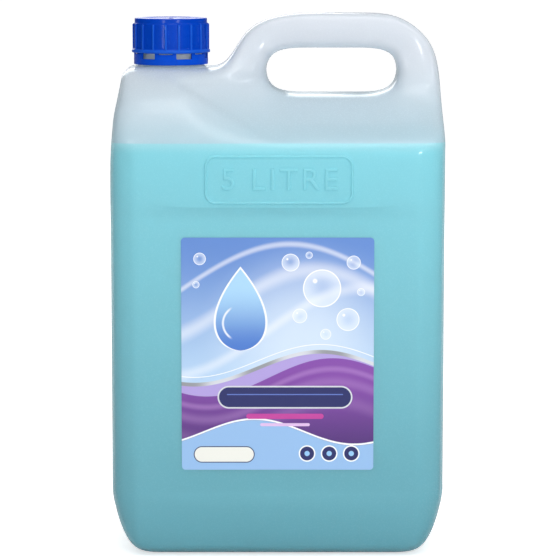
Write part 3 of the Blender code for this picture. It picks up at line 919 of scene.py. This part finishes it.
def rounded_frame(name, width, height, radius, line, proud):
    """A frame of one half-round line with rounded corners, standing in the XZ plane."""
    outline = []
    for sign_x, sign_z, first in ((1, 1, 0), (-1, 1, 1), (-1, -1, 2), (1, -1, 3)):
        for step in range(9):
            angle = (first + step / 8) * pi / 2
            outline.append((sign_x, sign_z, cos(angle), sin(angle)))
    points = []
    for number, (sign_x, sign_z, across, up) in enumerate(outline):
        x = sign_x * (width / 2 - radius)
        z = sign_z * (height / 2 - radius)
        points.append((x, z, across, up))
        if number % 9 == 8:
            next_x, next_z, next_across, next_up = outline[(number + 1) % len(outline)]
            end_x = next_x * (width / 2 - radius)
            end_z = next_z * (height / 2 - radius)
            pieces = 12 if abs(end_x - x) > abs(end_z - z) else 4
            for part in range(1, pieces):
                t = part / pieces
                points.append((x + (end_x - x) * t, z + (end_z - z) * t, across, up))
    border = bmesh.new()
    section = [(0.0, 0.0008), (0.0, 0.0), (0.15, -0.55), (0.33, -0.9), (0.5, -1.0)]
    section += [(0.67, -0.9), (0.85, -0.55), (1.0, 0.0), (1.0, 0.0008)]
    loops = []
    for inward, depth in section:
        reach = radius - line * inward
        y = depth * proud if depth < 0 else depth
        places = [(x + across * reach, y, z + up * reach) for x, z, across, up in points]
        loops.append([border.verts.new(place) for place in places])
    count = len(points)
    for first, second in zip(loops, loops[1:] + loops[:1]):
        for number in range(count):
            after = (number + 1) % count
            border.faces.new((first[number], first[after], second[after], second[number]))
    bmesh.ops.recalc_face_normals(border, faces=border.faces)
    mesh = bpy.data.meshes.new(name)
    border.to_mesh(mesh)
    border.free()
    made = bpy.data.objects.new(name, mesh)
    bpy.context.scene.collection.objects.link(made)
    return made


class PACK_OT_soap(bpy.types.Operator):
    """Fill the can with soap up to the fill line"""

    bl_idname = "pack.soap"
    bl_label = "Soap"

    def execute(self, context):
        sizes = context.scene.can_sizes
        soap = can_form("soap", sizes, 3)
        push_up_base(soap)
        move_inward(soap, sizes.wall + sizes.gap)
        edit(soap)
        bpy.ops.mesh.select_all(action="SELECT")
        bpy.ops.mesh.bisect(
            plane_co=(0.0, 0.0, sizes.fill), plane_no=(0.0, 0.0, 1.0), use_fill=True, clear_outer=True
        )
        object_mode()
        tidy_surface(soap)
        smooth_by_angle(soap, 40)
        soap.data.materials.append(pearly_soap(context.scene.can_colours, sizes.fill))
        keep(soap, "hand_soap")
        return {"FINISHED"}


class PACK_OT_cap(bpy.types.Operator):
    """Mould the ribbed screw cap with its flange and inside thread"""

    bl_idname = "pack.cap"
    bl_label = "Cap"

    def execute(self, context):
        sizes = context.scene.cap_sizes
        low, high = CAP_LOW.z, CAP_HIGH.z
        inside_top = high - sizes.crown
        corners = [
            (0.0, high - 0.0004),
            (0.0158, high - 0.0004),
            (0.0166, high),
            (sizes.land, high),
            (sizes.land, high - 0.0026),
            (sizes.skirt, high - 0.0031),
            (sizes.skirt, low + 0.0024),
            (sizes.flange, low + 0.0015),
            (sizes.flange, low),
            (sizes.inside, low),
            (sizes.inside, inside_top),
            (0.0, inside_top),
        ]
        cap = turned("cap_visual", rounded(corners, 0.0007), 144, (NECK_X, 0.0, 0.0))
        combine(cap, grip_ribs(sizes, low + 0.0010, high - 0.0026), "UNION")
        combine(cap, gate_nub(high - 0.0005), "UNION")
        start = context.scene.can_sizes.shoulder + THREAD_START - THREAD_PITCH / 2
        thread = thread_ridge("cap_thread", sizes.inside, NECK_RADIUS + context.scene.can_sizes.gap, start)
        combine(cap, thread, "UNION")
        smooth_by_angle(cap, 34)
        colours = context.scene.cap_colours
        cap.data.materials.clear()
        crest = sizes.skirt + 0.0003
        cap.data.materials.append(moulded_blue("blue_cap_plastic", colours.blue, colours.wear_and_highlight, crest))
        keep(cap, "cap", "cap")
        return {"FINISHED"}


def grip_ribs(sizes, low, high):
    """One rounded rib, and copies of it all around the skirt."""
    deselect()
    bpy.ops.mesh.primitive_cube_add(size=1.0)
    rib = named("grip_rib")
    for corner in rib.data.vertices:
        outer = corner.co.x > 0
        corner.co.x = sizes.skirt + (sizes.rib if outer else -0.0005)
        corner.co.y *= sizes.rib_width * (0.62 if outer else 1.0)
        upper = corner.co.z > 0
        corner.co.z = high if upper else low
        if outer and upper:
            corner.co.z -= 0.0009
    edit(rib)
    bpy.ops.mesh.select_all(action="SELECT")
    bpy.ops.mesh.bevel(offset=0.00028, segments=3, affect="EDGES")
    object_mode()
    ribs = [rib]
    for number in range(1, sizes.ribs):
        copy = rib.copy()
        copy.data = rib.data.copy()
        bpy.context.scene.collection.objects.link(copy)
        ribs.append(copy)
    for number, copy in enumerate(ribs):
        turn = FRONT + radians(-5.5) + 2 * pi * number / sizes.ribs
        copy.data.transform(Matrix.Translation((NECK_X, 0.0, 0.0)) @ Matrix.Rotation(turn, 4, "Z"))
    deselect()
    for copy in ribs:
        copy.select_set(True)
    bpy.context.view_layer.objects.active = rib
    bpy.ops.object.join()
    return rib


def gate_nub(height):
    """The small round mark that the mould's gate leaves on the cap."""
    outline = [
        (0.0, height - 0.0003),
        (0.0011, height - 0.0003),
        (0.0009, height + 0.0004),
        (0.0004, height + 0.0003),
        (0.0, height + 0.0003),
    ]
    return turned("gate_nub", outline, 24, (NECK_X, 0.0, 0.0))


def moulded_blue(name, base, wear_and_highlight, crest=1.0):
    """Glossy moulded plastic with a faint grain, flow clouds, rubbed spots and a painted highlight on the rib
    crests.
    """
    finish = Finish(name)
    cloud = finish.ramp(finish.noise(90.0, 3.0), 0.3, 0.7, 0.0, 0.25)
    deep = finish.blend(cloud, base, tuple(part * 0.72 for part in base))
    scuffs = finish.node("ShaderNodeMapping", Vector=finish.place, Scale=(1.0, 1.0, 0.2)).outputs[0]
    rubbed = finish.ramp(finish.noise(900.0, 4.0, 0.7, scuffs), 0.62, 0.80, 0.0, 0.55)
    x, y, z = finish.parts()
    out = finish.node("ShaderNodeCombineXYZ", X=finish.math("SUBTRACT", x, NECK_X), Y=y).outputs[0]
    out = finish.vector("LENGTH", out)
    # Painted highlight: the rib crests, outside radius crest, are coloured a lighter blue.
    ridge = finish.ramp(out, crest, crest + 0.0004, 0.0, 0.40)
    paint = finish.blend(finish.math("MAXIMUM", rubbed, ridge), deep, wear_and_highlight)
    grain = finish.noise(2600.0, 2.0, 0.6)
    skin = finish.bump(grain, 0.18, 0.00006)
    skin = finish.bump(finish.noise(160.0), 0.25, 0.0003, skin)
    plastic = finish.gloss(
        Base_Color=paint,
        Roughness=finish.ramp(finish.noise(300.0, 3.0), 0.3, 0.7, 0.24, 0.38),
        Normal=skin,
        Specular_IOR_Level=0.03,
        Coat_Weight=0.12,
        Coat_Roughness=0.10,
    )
    return finish.done(plastic)


class PACK_OT_tamper_ring(bpy.types.Operator):
    """Mould the tamper ring with its windows and slots"""

    bl_idname = "pack.tamper_ring"
    bl_label = "Tamper ring"

    def execute(self, context):
        sizes = context.scene.cap_sizes
        low, high = RING_LOW.z, RING_HIGH.z
        inner = sizes.ring - sizes.ring_wall
        corners = [
            (sizes.ring, high),
            (sizes.ring, low),
            (sizes.ring_lip, low),
            (sizes.ring_lip, low + 0.0012),
            (inner, low + 0.0018),
            (inner, high),
        ]
        ring = turned("ring_visual", rounded(corners, 0.0003), 144, (NECK_X, 0.0, 0.0))
        step = 2 * pi / sizes.windows
        for number in range(sizes.windows):
            middle = FRONT + radians(-36.5) + number * step
            window = ring_cutter(middle, radians(26), low + 0.0033, sizes)
            combine(ring, window, "DIFFERENCE")
            slot = ring_cutter(middle + step / 2, radians(22), high - 0.0007, sizes)
            combine(ring, slot, "DIFFERENCE")
        smooth_by_angle(ring, 34)
        colours = context.scene.cap_colours
        ring.data.materials.clear()
        ring.data.materials.append(moulded_blue("blue_ring_plastic", colours.ring_blue, colours.wear_and_highlight))
        keep(ring, "tamper_ring")
        return {"FINISHED"}


def ring_cutter(middle, angle, foot, sizes):
    """A wedge with rounded corners that cuts one window of the given angle, from foot up."""
    deselect()
    bpy.ops.mesh.primitive_cube_add(size=1.0)
    wedge = named("ring_cutter")
    inner = sizes.ring_lip - sizes.ring_wall
    outer = (sizes.ring + sizes.ring_wall) / cos(angle / 2)
    for corner in wedge.data.vertices:
        radius = outer if corner.co.x > 0 else inner
        turn = middle + (angle / 2 if corner.co.y > 0 else -angle / 2)
        corner.co = (
            NECK_X + radius * cos(turn),
            radius * sin(turn),
            RING_HIGH.z + 0.0010 if corner.co.z > 0 else foot,
        )
    low = [line.index for line in wedge.data.edges if is_radial_foot(wedge, line, foot)]
    edit(wedge)
    bpy.ops.mesh.select_mode(type="EDGE")
    bpy.ops.mesh.select_all(action="DESELECT")
    object_mode()
    for number in low:
        wedge.data.edges[number].select = True
    bpy.ops.object.mode_set(mode="EDIT")
    bpy.ops.mesh.bevel(offset=0.0003, segments=3, affect="EDGES")
    object_mode()
    return wedge


def is_radial_foot(wedge, line, foot):
    """Tells whether an edge runs from the middle of the ring outwards at the foot of a window."""
    first, last = (wedge.data.vertices[number].co for number in line.vertices)
    level = abs(first.z - foot) < 0.00001 and abs(last.z - foot) < 0.00001
    centre = Vector((NECK_X, 0.0))
    return level and abs((first.xy - centre).length - (last.xy - centre).length) > 0.001


class PACK_OT_liner(bpy.types.Operator):
    """Give the liner in the cap its foam finish"""

    bl_idname = "pack.liner"
    bl_label = "Liner"

    def execute(self, context):
        colours = context.scene.cap_colours
        finish = Finish("liner_foam_white")
        cells = finish.node("ShaderNodeTexVoronoi", Vector=finish.place, Scale=1500.0).outputs["Distance"]
        tone = finish.ramp(cells, 0.1, 0.6)
        foam = finish.gloss(
            Base_Color=finish.blend(tone, tuple(part * 0.86 for part in colours.foam), colours.foam),
            Roughness=finish.ramp(cells, 0.0, 0.7, 0.75, 0.9),
            Normal=finish.bump(cells, 0.5, 0.0001),
        )
        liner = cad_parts["cap_liner"]
        liner.data.materials.clear()
        liner.data.materials.append(finish.done(foam))
        return {"FINISHED"}


class PACK_OT_label(bpy.types.Operator):
    """Lay the printed label on the front panel"""

    bl_idname = "pack.label"
    bl_label = "Label"

    def execute(self, context):
        sizes = context.scene.can_sizes
        width = LABEL_HIGH.x - LABEL_LOW.x
        height = LABEL_HIGH.z - LABEL_LOW.z
        middle = (LABEL_LOW.z + LABEL_HIGH.z) / 2
        deselect()
        bpy.ops.mesh.primitive_grid_add(x_subdivisions=26, y_subdivisions=32, size=1.0)
        label = named("label_visual")
        label.scale = (width, height, 1.0)
        label.rotation_euler = (pi / 2, 0.0, 0.0)
        label.location = (0.0, -(sizes.depth / 2 - sizes.recess + 0.00022), middle)
        place_in_mesh(label)
        round_corners(label, width / 2, height / 2, middle, 0.0020)
        finish_with(label, "SOLIDIFY", thickness=0.00018, offset=-1.0)
        tidy_surface(label)
        smooth_by_angle(label, 30)
        label.data.materials.append(label_print(context.scene.label_colours, middle))
        keep(label, "front_label")
        return {"FINISHED"}


def round_corners(label, half_x, half_z, middle, radius):
    """Cuts the sheet's corners off to a round."""
    edit(label)
    bpy.ops.mesh.select_all(action="DESELECT")
    object_mode()
    for corner in label.data.vertices:
        at_side = abs(abs(corner.co.x) - half_x) < NEAR
        at_end = abs(abs(corner.co.z - middle) - half_z) < NEAR
        corner.select = at_side and at_end
    bpy.ops.object.mode_set(mode="EDIT")
    bpy.ops.mesh.bevel(offset=radius, segments=8, affect="VERTICES")
    object_mode()


def label_print(colours, middle):
    """The printed film in millimetres: sky, waves, a silver ribbon, a drop with bubbles and blank panels."""
    finish = Finish("printed_label_film")
    x, y, z = finish.parts()
    across = finish.math("MULTIPLY", x, 1000.0)
    up = finish.math("MULTIPLY", finish.math("SUBTRACT", z, middle), 1000.0)
    spot = finish.node("ShaderNodeCombineXYZ", X=across, Y=up).outputs[0]
    white = ink(250, 251, 255)

    art = finish.blend(finish.ramp(up, -30.0, 64.0), colours.sky_low, colours.sky_high)
    haze = finish.ramp(finish.vector("DISTANCE", spot, (14.0, 6.0, 0.0)), 6.0, 62.0, 0.75, 0.0)
    art = finish.blend(haze, art, ink(222, 236, 250))
    art = sky_swooshes(finish, art, across, up, white)
    art = drop_and_bubbles(finish, art, spot, across, up, white)
    art = waves_and_ribbon(finish, art, colours, across, up, white)
    art = blank_panels(finish, art, colours, spot, white)

    film = finish.noise(45.0, 2.0)
    relief = finish.bump(film, 0.10, 0.0006)
    relief = finish.bump(finish.noise(1900.0), 0.05, 0.00004, relief)
    sheet = finish.gloss(
        Base_Color=art,
        Roughness=finish.ramp(film, 0.3, 0.7, 0.30, 0.40),
        Normal=relief,
        Coat_Weight=0.20,
        Coat_Roughness=0.15,
    )
    return finish.done(sheet)


def wave(finish, across, rate, phase, swing, level):
    """The height of a wave over the label."""
    angle = finish.math("MULTIPLY_ADD", across, rate, phase)
    return finish.math("MULTIPLY_ADD", finish.math("SINE", angle), swing, level)


def sky_swooshes(finish, art, across, up, white):
    """Broad soft bands of light that sweep over the sky."""
    for rate, phase, swing, level, breadth, strength in (
        (0.034, 0.9, 20.0, 26.0, 7.0, 0.45),
        (0.030, 0.2, 24.0, 12.0, 5.0, 0.40),
        (0.026, 1.4, 26.0, 34.0, 2.5, 0.50),
    ):
        line = wave(finish, across, rate, phase, swing, level)
        off = finish.math("ABSOLUTE", finish.math("SUBTRACT", up, line))
        art = finish.blend(finish.ramp(off, 0.0, breadth, strength, 0.0), art, white)
    return art


def drop_and_bubbles(finish, art, spot, across, up, white):
    """A large drop and the bubbles that rise beside it."""
    foot, tall, middle = 2.0, 46.0, -20.0
    along = finish.ramp(up, foot, foot + tall, smooth=False)
    round_end = finish.math("SQRT", along)
    half = finish.math("MULTIPLY", round_end, finish.math("SUBTRACT", 1.0, along))
    half = finish.math("MULTIPLY", half, 38.0)
    off = finish.math("ABSOLUTE", finish.math("SUBTRACT", across, middle))
    depth = finish.math("SUBTRACT", off, half)
    rim = finish.below(depth, 0.0, 0.25)
    core = finish.below(depth, -1.1, 0.25)
    inside = finish.blend(finish.ramp(up, foot, foot + tall * 0.8), ink(70, 120, 204), ink(170, 214, 246))
    art = finish.blend(rim, art, white)
    art = finish.blend(core, art, inside)
    shine = finish.circle(spot, (middle, foot + 15.0), 9.5, 1.8, 0.8)
    left = finish.ramp(across, middle - 7.0, middle - 4.0, 0.85, 0.0)
    low = finish.ramp(up, foot + 4.0, foot + 8.0)
    shine = finish.math("MULTIPLY", shine, finish.math("MULTIPLY", left, low))
    art = finish.blend(shine, art, white)
    for place_x, place_y, radius in (
        (24.0, 36.0, 10.0),
        (38.0, 19.0, 6.0),
        (12.0, 21.0, 3.8),
        (41.0, 50.0, 3.6),
        (26.0, 11.0, 2.8),
        (7.0, 50.0, 4.6),
        (-42.0, 52.0, 3.2),
        (-44.0, 38.0, 1.8),
        (17.0, 54.0, 1.8),
        (45.0, 34.0, 2.0),
    ):
        centre = (place_x, place_y)
        away = finish.vector("DISTANCE", spot, (place_x, place_y, 0.0))
        veil = finish.ramp(away, 0.0, radius, 0.05, 0.55)
        veil = finish.math("MULTIPLY", veil, finish.below(away, radius, 0.12))
        art = finish.blend(veil, art, ink(236, 244, 254))
        art = finish.blend(finish.circle(spot, centre, radius, radius * 0.05 + 0.25), art, white)
        glint = (place_x - radius * 0.38, place_y + radius * 0.40)
        art = finish.blend(finish.disc(spot, glint, radius * 0.17, radius * 0.10), art, white)
    return art


def waves_and_ribbon(finish, art, colours, across, up, white):
    """The lilac and purple waves and the silver ribbon on their edge."""
    lilac_line = wave(finish, across, 0.046, 0.5, 9.0, -7.0)
    purple_line = wave(finish, across, 0.046, 0.2, 10.5, -12.5)
    low_line = wave(finish, across, 0.058, 2.3, 7.0, -43.0)
    thin_line = finish.math("ADD", lilac_line, 3.4)

    thin = finish.math("ABSOLUTE", finish.math("SUBTRACT", up, thin_line))
    art = finish.blend(finish.below(thin, 0.28, 0.12), art, white)
    under = finish.math("SUBTRACT", up, lilac_line)
    art = finish.blend(finish.below(under, 0.0, 0.2), art, colours.lilac)
    sheen = finish.ramp(finish.math("SINE", finish.math("MULTIPLY", across, 0.16)), -1.0, 1.0)
    metal = finish.blend(sheen, tuple(part * 0.45 for part in colours.silver), colours.silver)
    ribbon = finish.math("ABSOLUTE", finish.math("ADD", under, 0.6))
    art = finish.blend(finish.below(ribbon, 1.1, 0.15), art, metal)

    deep = finish.math("SUBTRACT", up, purple_line)
    purple = finish.blend(finish.ramp(up, -62.0, -6.0), colours.purple_low, colours.purple_high)
    art = finish.blend(finish.below(deep, 0.0, 0.2), art, purple)
    for offset, breadth, strength in ((-6.0, 2.6, 0.28), (-13.0, 4.2, 0.20), (-24.0, 6.0, 0.14)):
        streak = finish.math("ABSOLUTE", finish.math("SUBTRACT", deep, offset))
        art = finish.blend(finish.ramp(streak, 0.0, breadth, strength, 0.0), art, ink(206, 160, 226))
    bottom = finish.math("SUBTRACT", up, low_line)
    art = finish.blend(finish.below(bottom, 0.0, 0.2), art, ink(150, 190, 234))
    edge = finish.math("ABSOLUTE", finish.math("SUBTRACT", bottom, 0.5))
    return finish.blend(finish.below(edge, 0.55, 0.12), art, white)


def blank_panels(finish, art, colours, spot, white):
    """The panels that stand empty in place of words."""
    name = (4.0, -23.5)
    art = finish.blend(finish.panel(spot, name, (36.6, 6.3), 6.3), art, colours.silver)
    art = finish.blend(finish.panel(spot, name, (35.8, 5.5), 5.5), art, colours.navy)
    art = finish.blend(finish.panel(spot, (4.0, -22.0), (31.5, 0.35), 0.3), art, ink(96, 120, 200))
    art = finish.blend(finish.panel(spot, (4.0, -34.0), (21.0, 1.5), 1.5), art, colours.magenta)
    art = finish.blend(finish.panel(spot, (4.0, -38.6), (13.5, 0.9), 0.9), art, ink(226, 190, 234))
    art = finish.blend(finish.panel(spot, (-29.0, -55.0), (16.6, 4.6), 4.6), art, colours.navy)
    art = finish.blend(finish.panel(spot, (-29.0, -55.0), (16.1, 4.1), 4.1), art, colours.cream)
    for place_x in (16.0, 28.0, 40.0):
        art = finish.blend(finish.disc(spot, (place_x, -54.5), 4.6), art, white)
        art = finish.blend(finish.disc(spot, (place_x, -54.5), 3.9), art, colours.navy)
        art = finish.blend(finish.disc(spot, (place_x, -54.5), 1.5), art, ink(150, 200, 244))
    return art


class PACK_OT_stage(bpy.types.Operator):
    """Set the pale floor, the soft lights and the camera"""

    bl_idname = "pack.stage"
    bl_label = "Stage"

    def execute(self, context):
        stage = context.scene.stage_settings
        deselect()
        bpy.ops.mesh.primitive_grid_add(x_subdivisions=4, y_subdivisions=4, size=40.0)
        floor = named("floor")
        finish = Finish("pale_floor")
        grain = finish.noise(3.0)
        finish_shader = finish.gloss(
            Base_Color=tuple(stage.floor) + (1.0,),
            Roughness=finish.ramp(grain, 0.3, 0.7, 0.75, 0.85),
            Specular_IOR_Level=0.2,
        )
        seen = finish.node("ShaderNodeLightPath").outputs["Is Camera Ray"]
        lift = finish.math("MULTIPLY", seen, stage.glow)
        glow = finish.node("ShaderNodeEmission", Color=(1.0, 1.0, 1.0), Strength=lift).outputs[0]
        table = finish.node("ShaderNodeAddShader")
        finish.join(finish_shader, table.inputs[0])
        finish.join(glow, table.inputs[1])
        floor.data.materials.append(finish.done(table.outputs[0]))
        studio_light(context.scene, stage)

        soft_light("overhead", (0.10, -0.45, 1.35), (0.0, 0.0, 0.20), 0.7, 4.0)
        strip = soft_light("strip", (0.66, -0.52, 0.84), (0.06, 0.0, 0.26), 0.05, 2.2)
        strip.data.shape = "RECTANGLE"
        strip.data.size_y = 0.90
        along = Vector((-1.0, 0.0, 1.0)).normalized()
        facing = (strip.location - Vector((0.06, 0.0, 0.26))).normalized()
        across = along.cross(facing).normalized()
        strip.rotation_euler = Matrix((across, facing.cross(across), facing)).transposed().to_euler()
        soft_light("key", (0.60, -1.4, 0.50), (0.02, 0.0, 0.18), 0.22, 4.0)
        soft_light("second", (-0.60, -1.4, 0.50), (-0.02, 0.0, 0.18), 0.22, 2.0)
        soft_light("back", (-0.30, 1.50, 0.80), (0.0, 0.0, 0.16), 0.80, 7.0)

        bpy.ops.object.camera_add()
        camera = bpy.context.object
        camera.name = "photograph"
        target = Vector((0.0013, 0.0, stage.target))
        back = Vector((0.0, -cos(stage.pitch), sin(stage.pitch)))
        camera.location = target + back * stage.distance
        camera.rotation_euler = (pi / 2 - stage.pitch, 0.0, 0.0)
        camera.data.sensor_width = 36.0
        camera.data.lens = 36.0 * 2798 / 560
        camera.data.clip_end = 100.0
        context.scene.camera = camera
        context.scene.view_settings.view_transform = "Standard"
        return {"FINISHED"}


def studio_light(scene, stage):
    """Light from all around, stronger from the front and above than from behind, before a white backdrop."""
    world = bpy.data.worlds.new("studio")
    scene.world = world
    world.use_nodes = True
    tree = world.node_tree
    tree.nodes.clear()

    def node(kind, **inputs):
        made = tree.nodes.new(kind)
        for name, value in inputs.items():
            if isinstance(value, bpy.types.NodeSocket):
                tree.links.new(value, made.inputs[name.replace("_", " ")])
            else:
                made.inputs[name.replace("_", " ")].default_value = value
        return made

    way = tree.nodes.new("ShaderNodeTexCoord").outputs["Generated"]
    parts = node("ShaderNodeSeparateXYZ", Vector=way).outputs
    frontness = node("ShaderNodeMapRange", Value=parts["Y"], From_Min=0.5, From_Max=-0.6).outputs[0]
    soft = node("ShaderNodeMapRange", Value=frontness, To_Min=stage.behind, To_Max=stage.front).outputs[0]
    overhead = node("ShaderNodeMapRange", Value=parts["Z"], From_Min=-0.2, To_Min=0.75, To_Max=1.0).outputs[0]
    sideways = tree.nodes.new("ShaderNodeMath")
    sideways.operation = "ABSOLUTE"
    tree.links.new(parts["X"], sideways.inputs[0])
    flags = node(
        "ShaderNodeMapRange", Value=sideways.outputs[0], From_Min=0.3, From_Max=0.8, To_Min=1.0, To_Max=0.10
    ).outputs[0]
    strength = soft
    for part in (overhead, flags):
        product = tree.nodes.new("ShaderNodeMath")
        product.operation = "MULTIPLY"
        tree.links.new(strength, product.inputs[0])
        tree.links.new(part, product.inputs[1])
        strength = product.outputs[0]
    studio = node("ShaderNodeBackground", Color=(1.0, 1.0, 1.0, 1.0), Strength=strength).outputs[0]
    backdrop = node("ShaderNodeBackground", Color=(1.0, 1.0, 1.0, 1.0), Strength=1.0).outputs[0]
    seen = tree.nodes.new("ShaderNodeLightPath").outputs["Is Camera Ray"]
    mixed = tree.nodes.new("ShaderNodeMixShader")
    tree.links.new(seen, mixed.inputs[0])
    tree.links.new(studio, mixed.inputs[1])
    tree.links.new(backdrop, mixed.inputs[2])
    output = tree.nodes.new("ShaderNodeOutputWorld")
    tree.links.new(mixed.outputs[0], output.inputs["Surface"])


def soft_light(name, place, aim, size, power):
    """A square soft box that shines towards aim."""
    bpy.ops.object.light_add(type="AREA", location=place)
    light = bpy.context.object
    light.name = name
    light.data.shape = "SQUARE"
    light.data.size = size
    light.data.energy = power
    light.rotation_euler = (Vector(aim) - Vector(place)).to_track_quat("-Z", "Y").to_euler()
    return light


class PACK_PT_panel(bpy.types.Panel):
    bl_idname = "PACK_PT_panel"
    bl_label = "Hand soap refill pack"
    bl_space_type = "VIEW_3D"
    bl_region_type = "UI"
    bl_category = "Refill pack"

    def draw(self, context):
        layout = self.layout
        for group in GROUPS:
            settings = getattr(context.scene, group)
            box = layout.box()
            for name in settings.__annotations__:
                box.prop(settings, name)
        for operator in OPERATORS:
            layout.operator(operator.bl_idname)


GROUPS = {
    "can_sizes": CanSizes,
    "can_colours": CanColours,
    "cap_sizes": CapSizes,
    "cap_colours": CapColours,
    "label_colours": LabelColours,
    "stage_settings": StageSettings,
}
OPERATORS = (
    PACK_OT_can,
    PACK_OT_soap,
    PACK_OT_cap,
    PACK_OT_tamper_ring,
    PACK_OT_liner,
    PACK_OT_label,
    PACK_OT_stage,
)


def register():
    for group, settings in GROUPS.items():
        bpy.utils.register_class(settings)
        setattr(bpy.types.Scene, group, PointerProperty(type=settings))
    for operator in OPERATORS:
        bpy.utils.register_class(operator)
    bpy.utils.register_class(PACK_PT_panel)


def unregister():
    bpy.utils.unregister_class(PACK_PT_panel)
    for operator in reversed(OPERATORS):
        bpy.utils.unregister_class(operator)
    for group, settings in reversed(GROUPS.items()):
        delattr(bpy.types.Scene, group)
        bpy.utils.unregister_class(settings)


def main():
    register()
    bpy.ops.pack.can()
    bpy.ops.pack.soap()
    bpy.ops.pack.cap()
    bpy.ops.pack.tamper_ring()
    bpy.ops.pack.liner()
    bpy.ops.pack.label()
    bpy.ops.pack.stage()


if __name__ == "__main__":
    main()
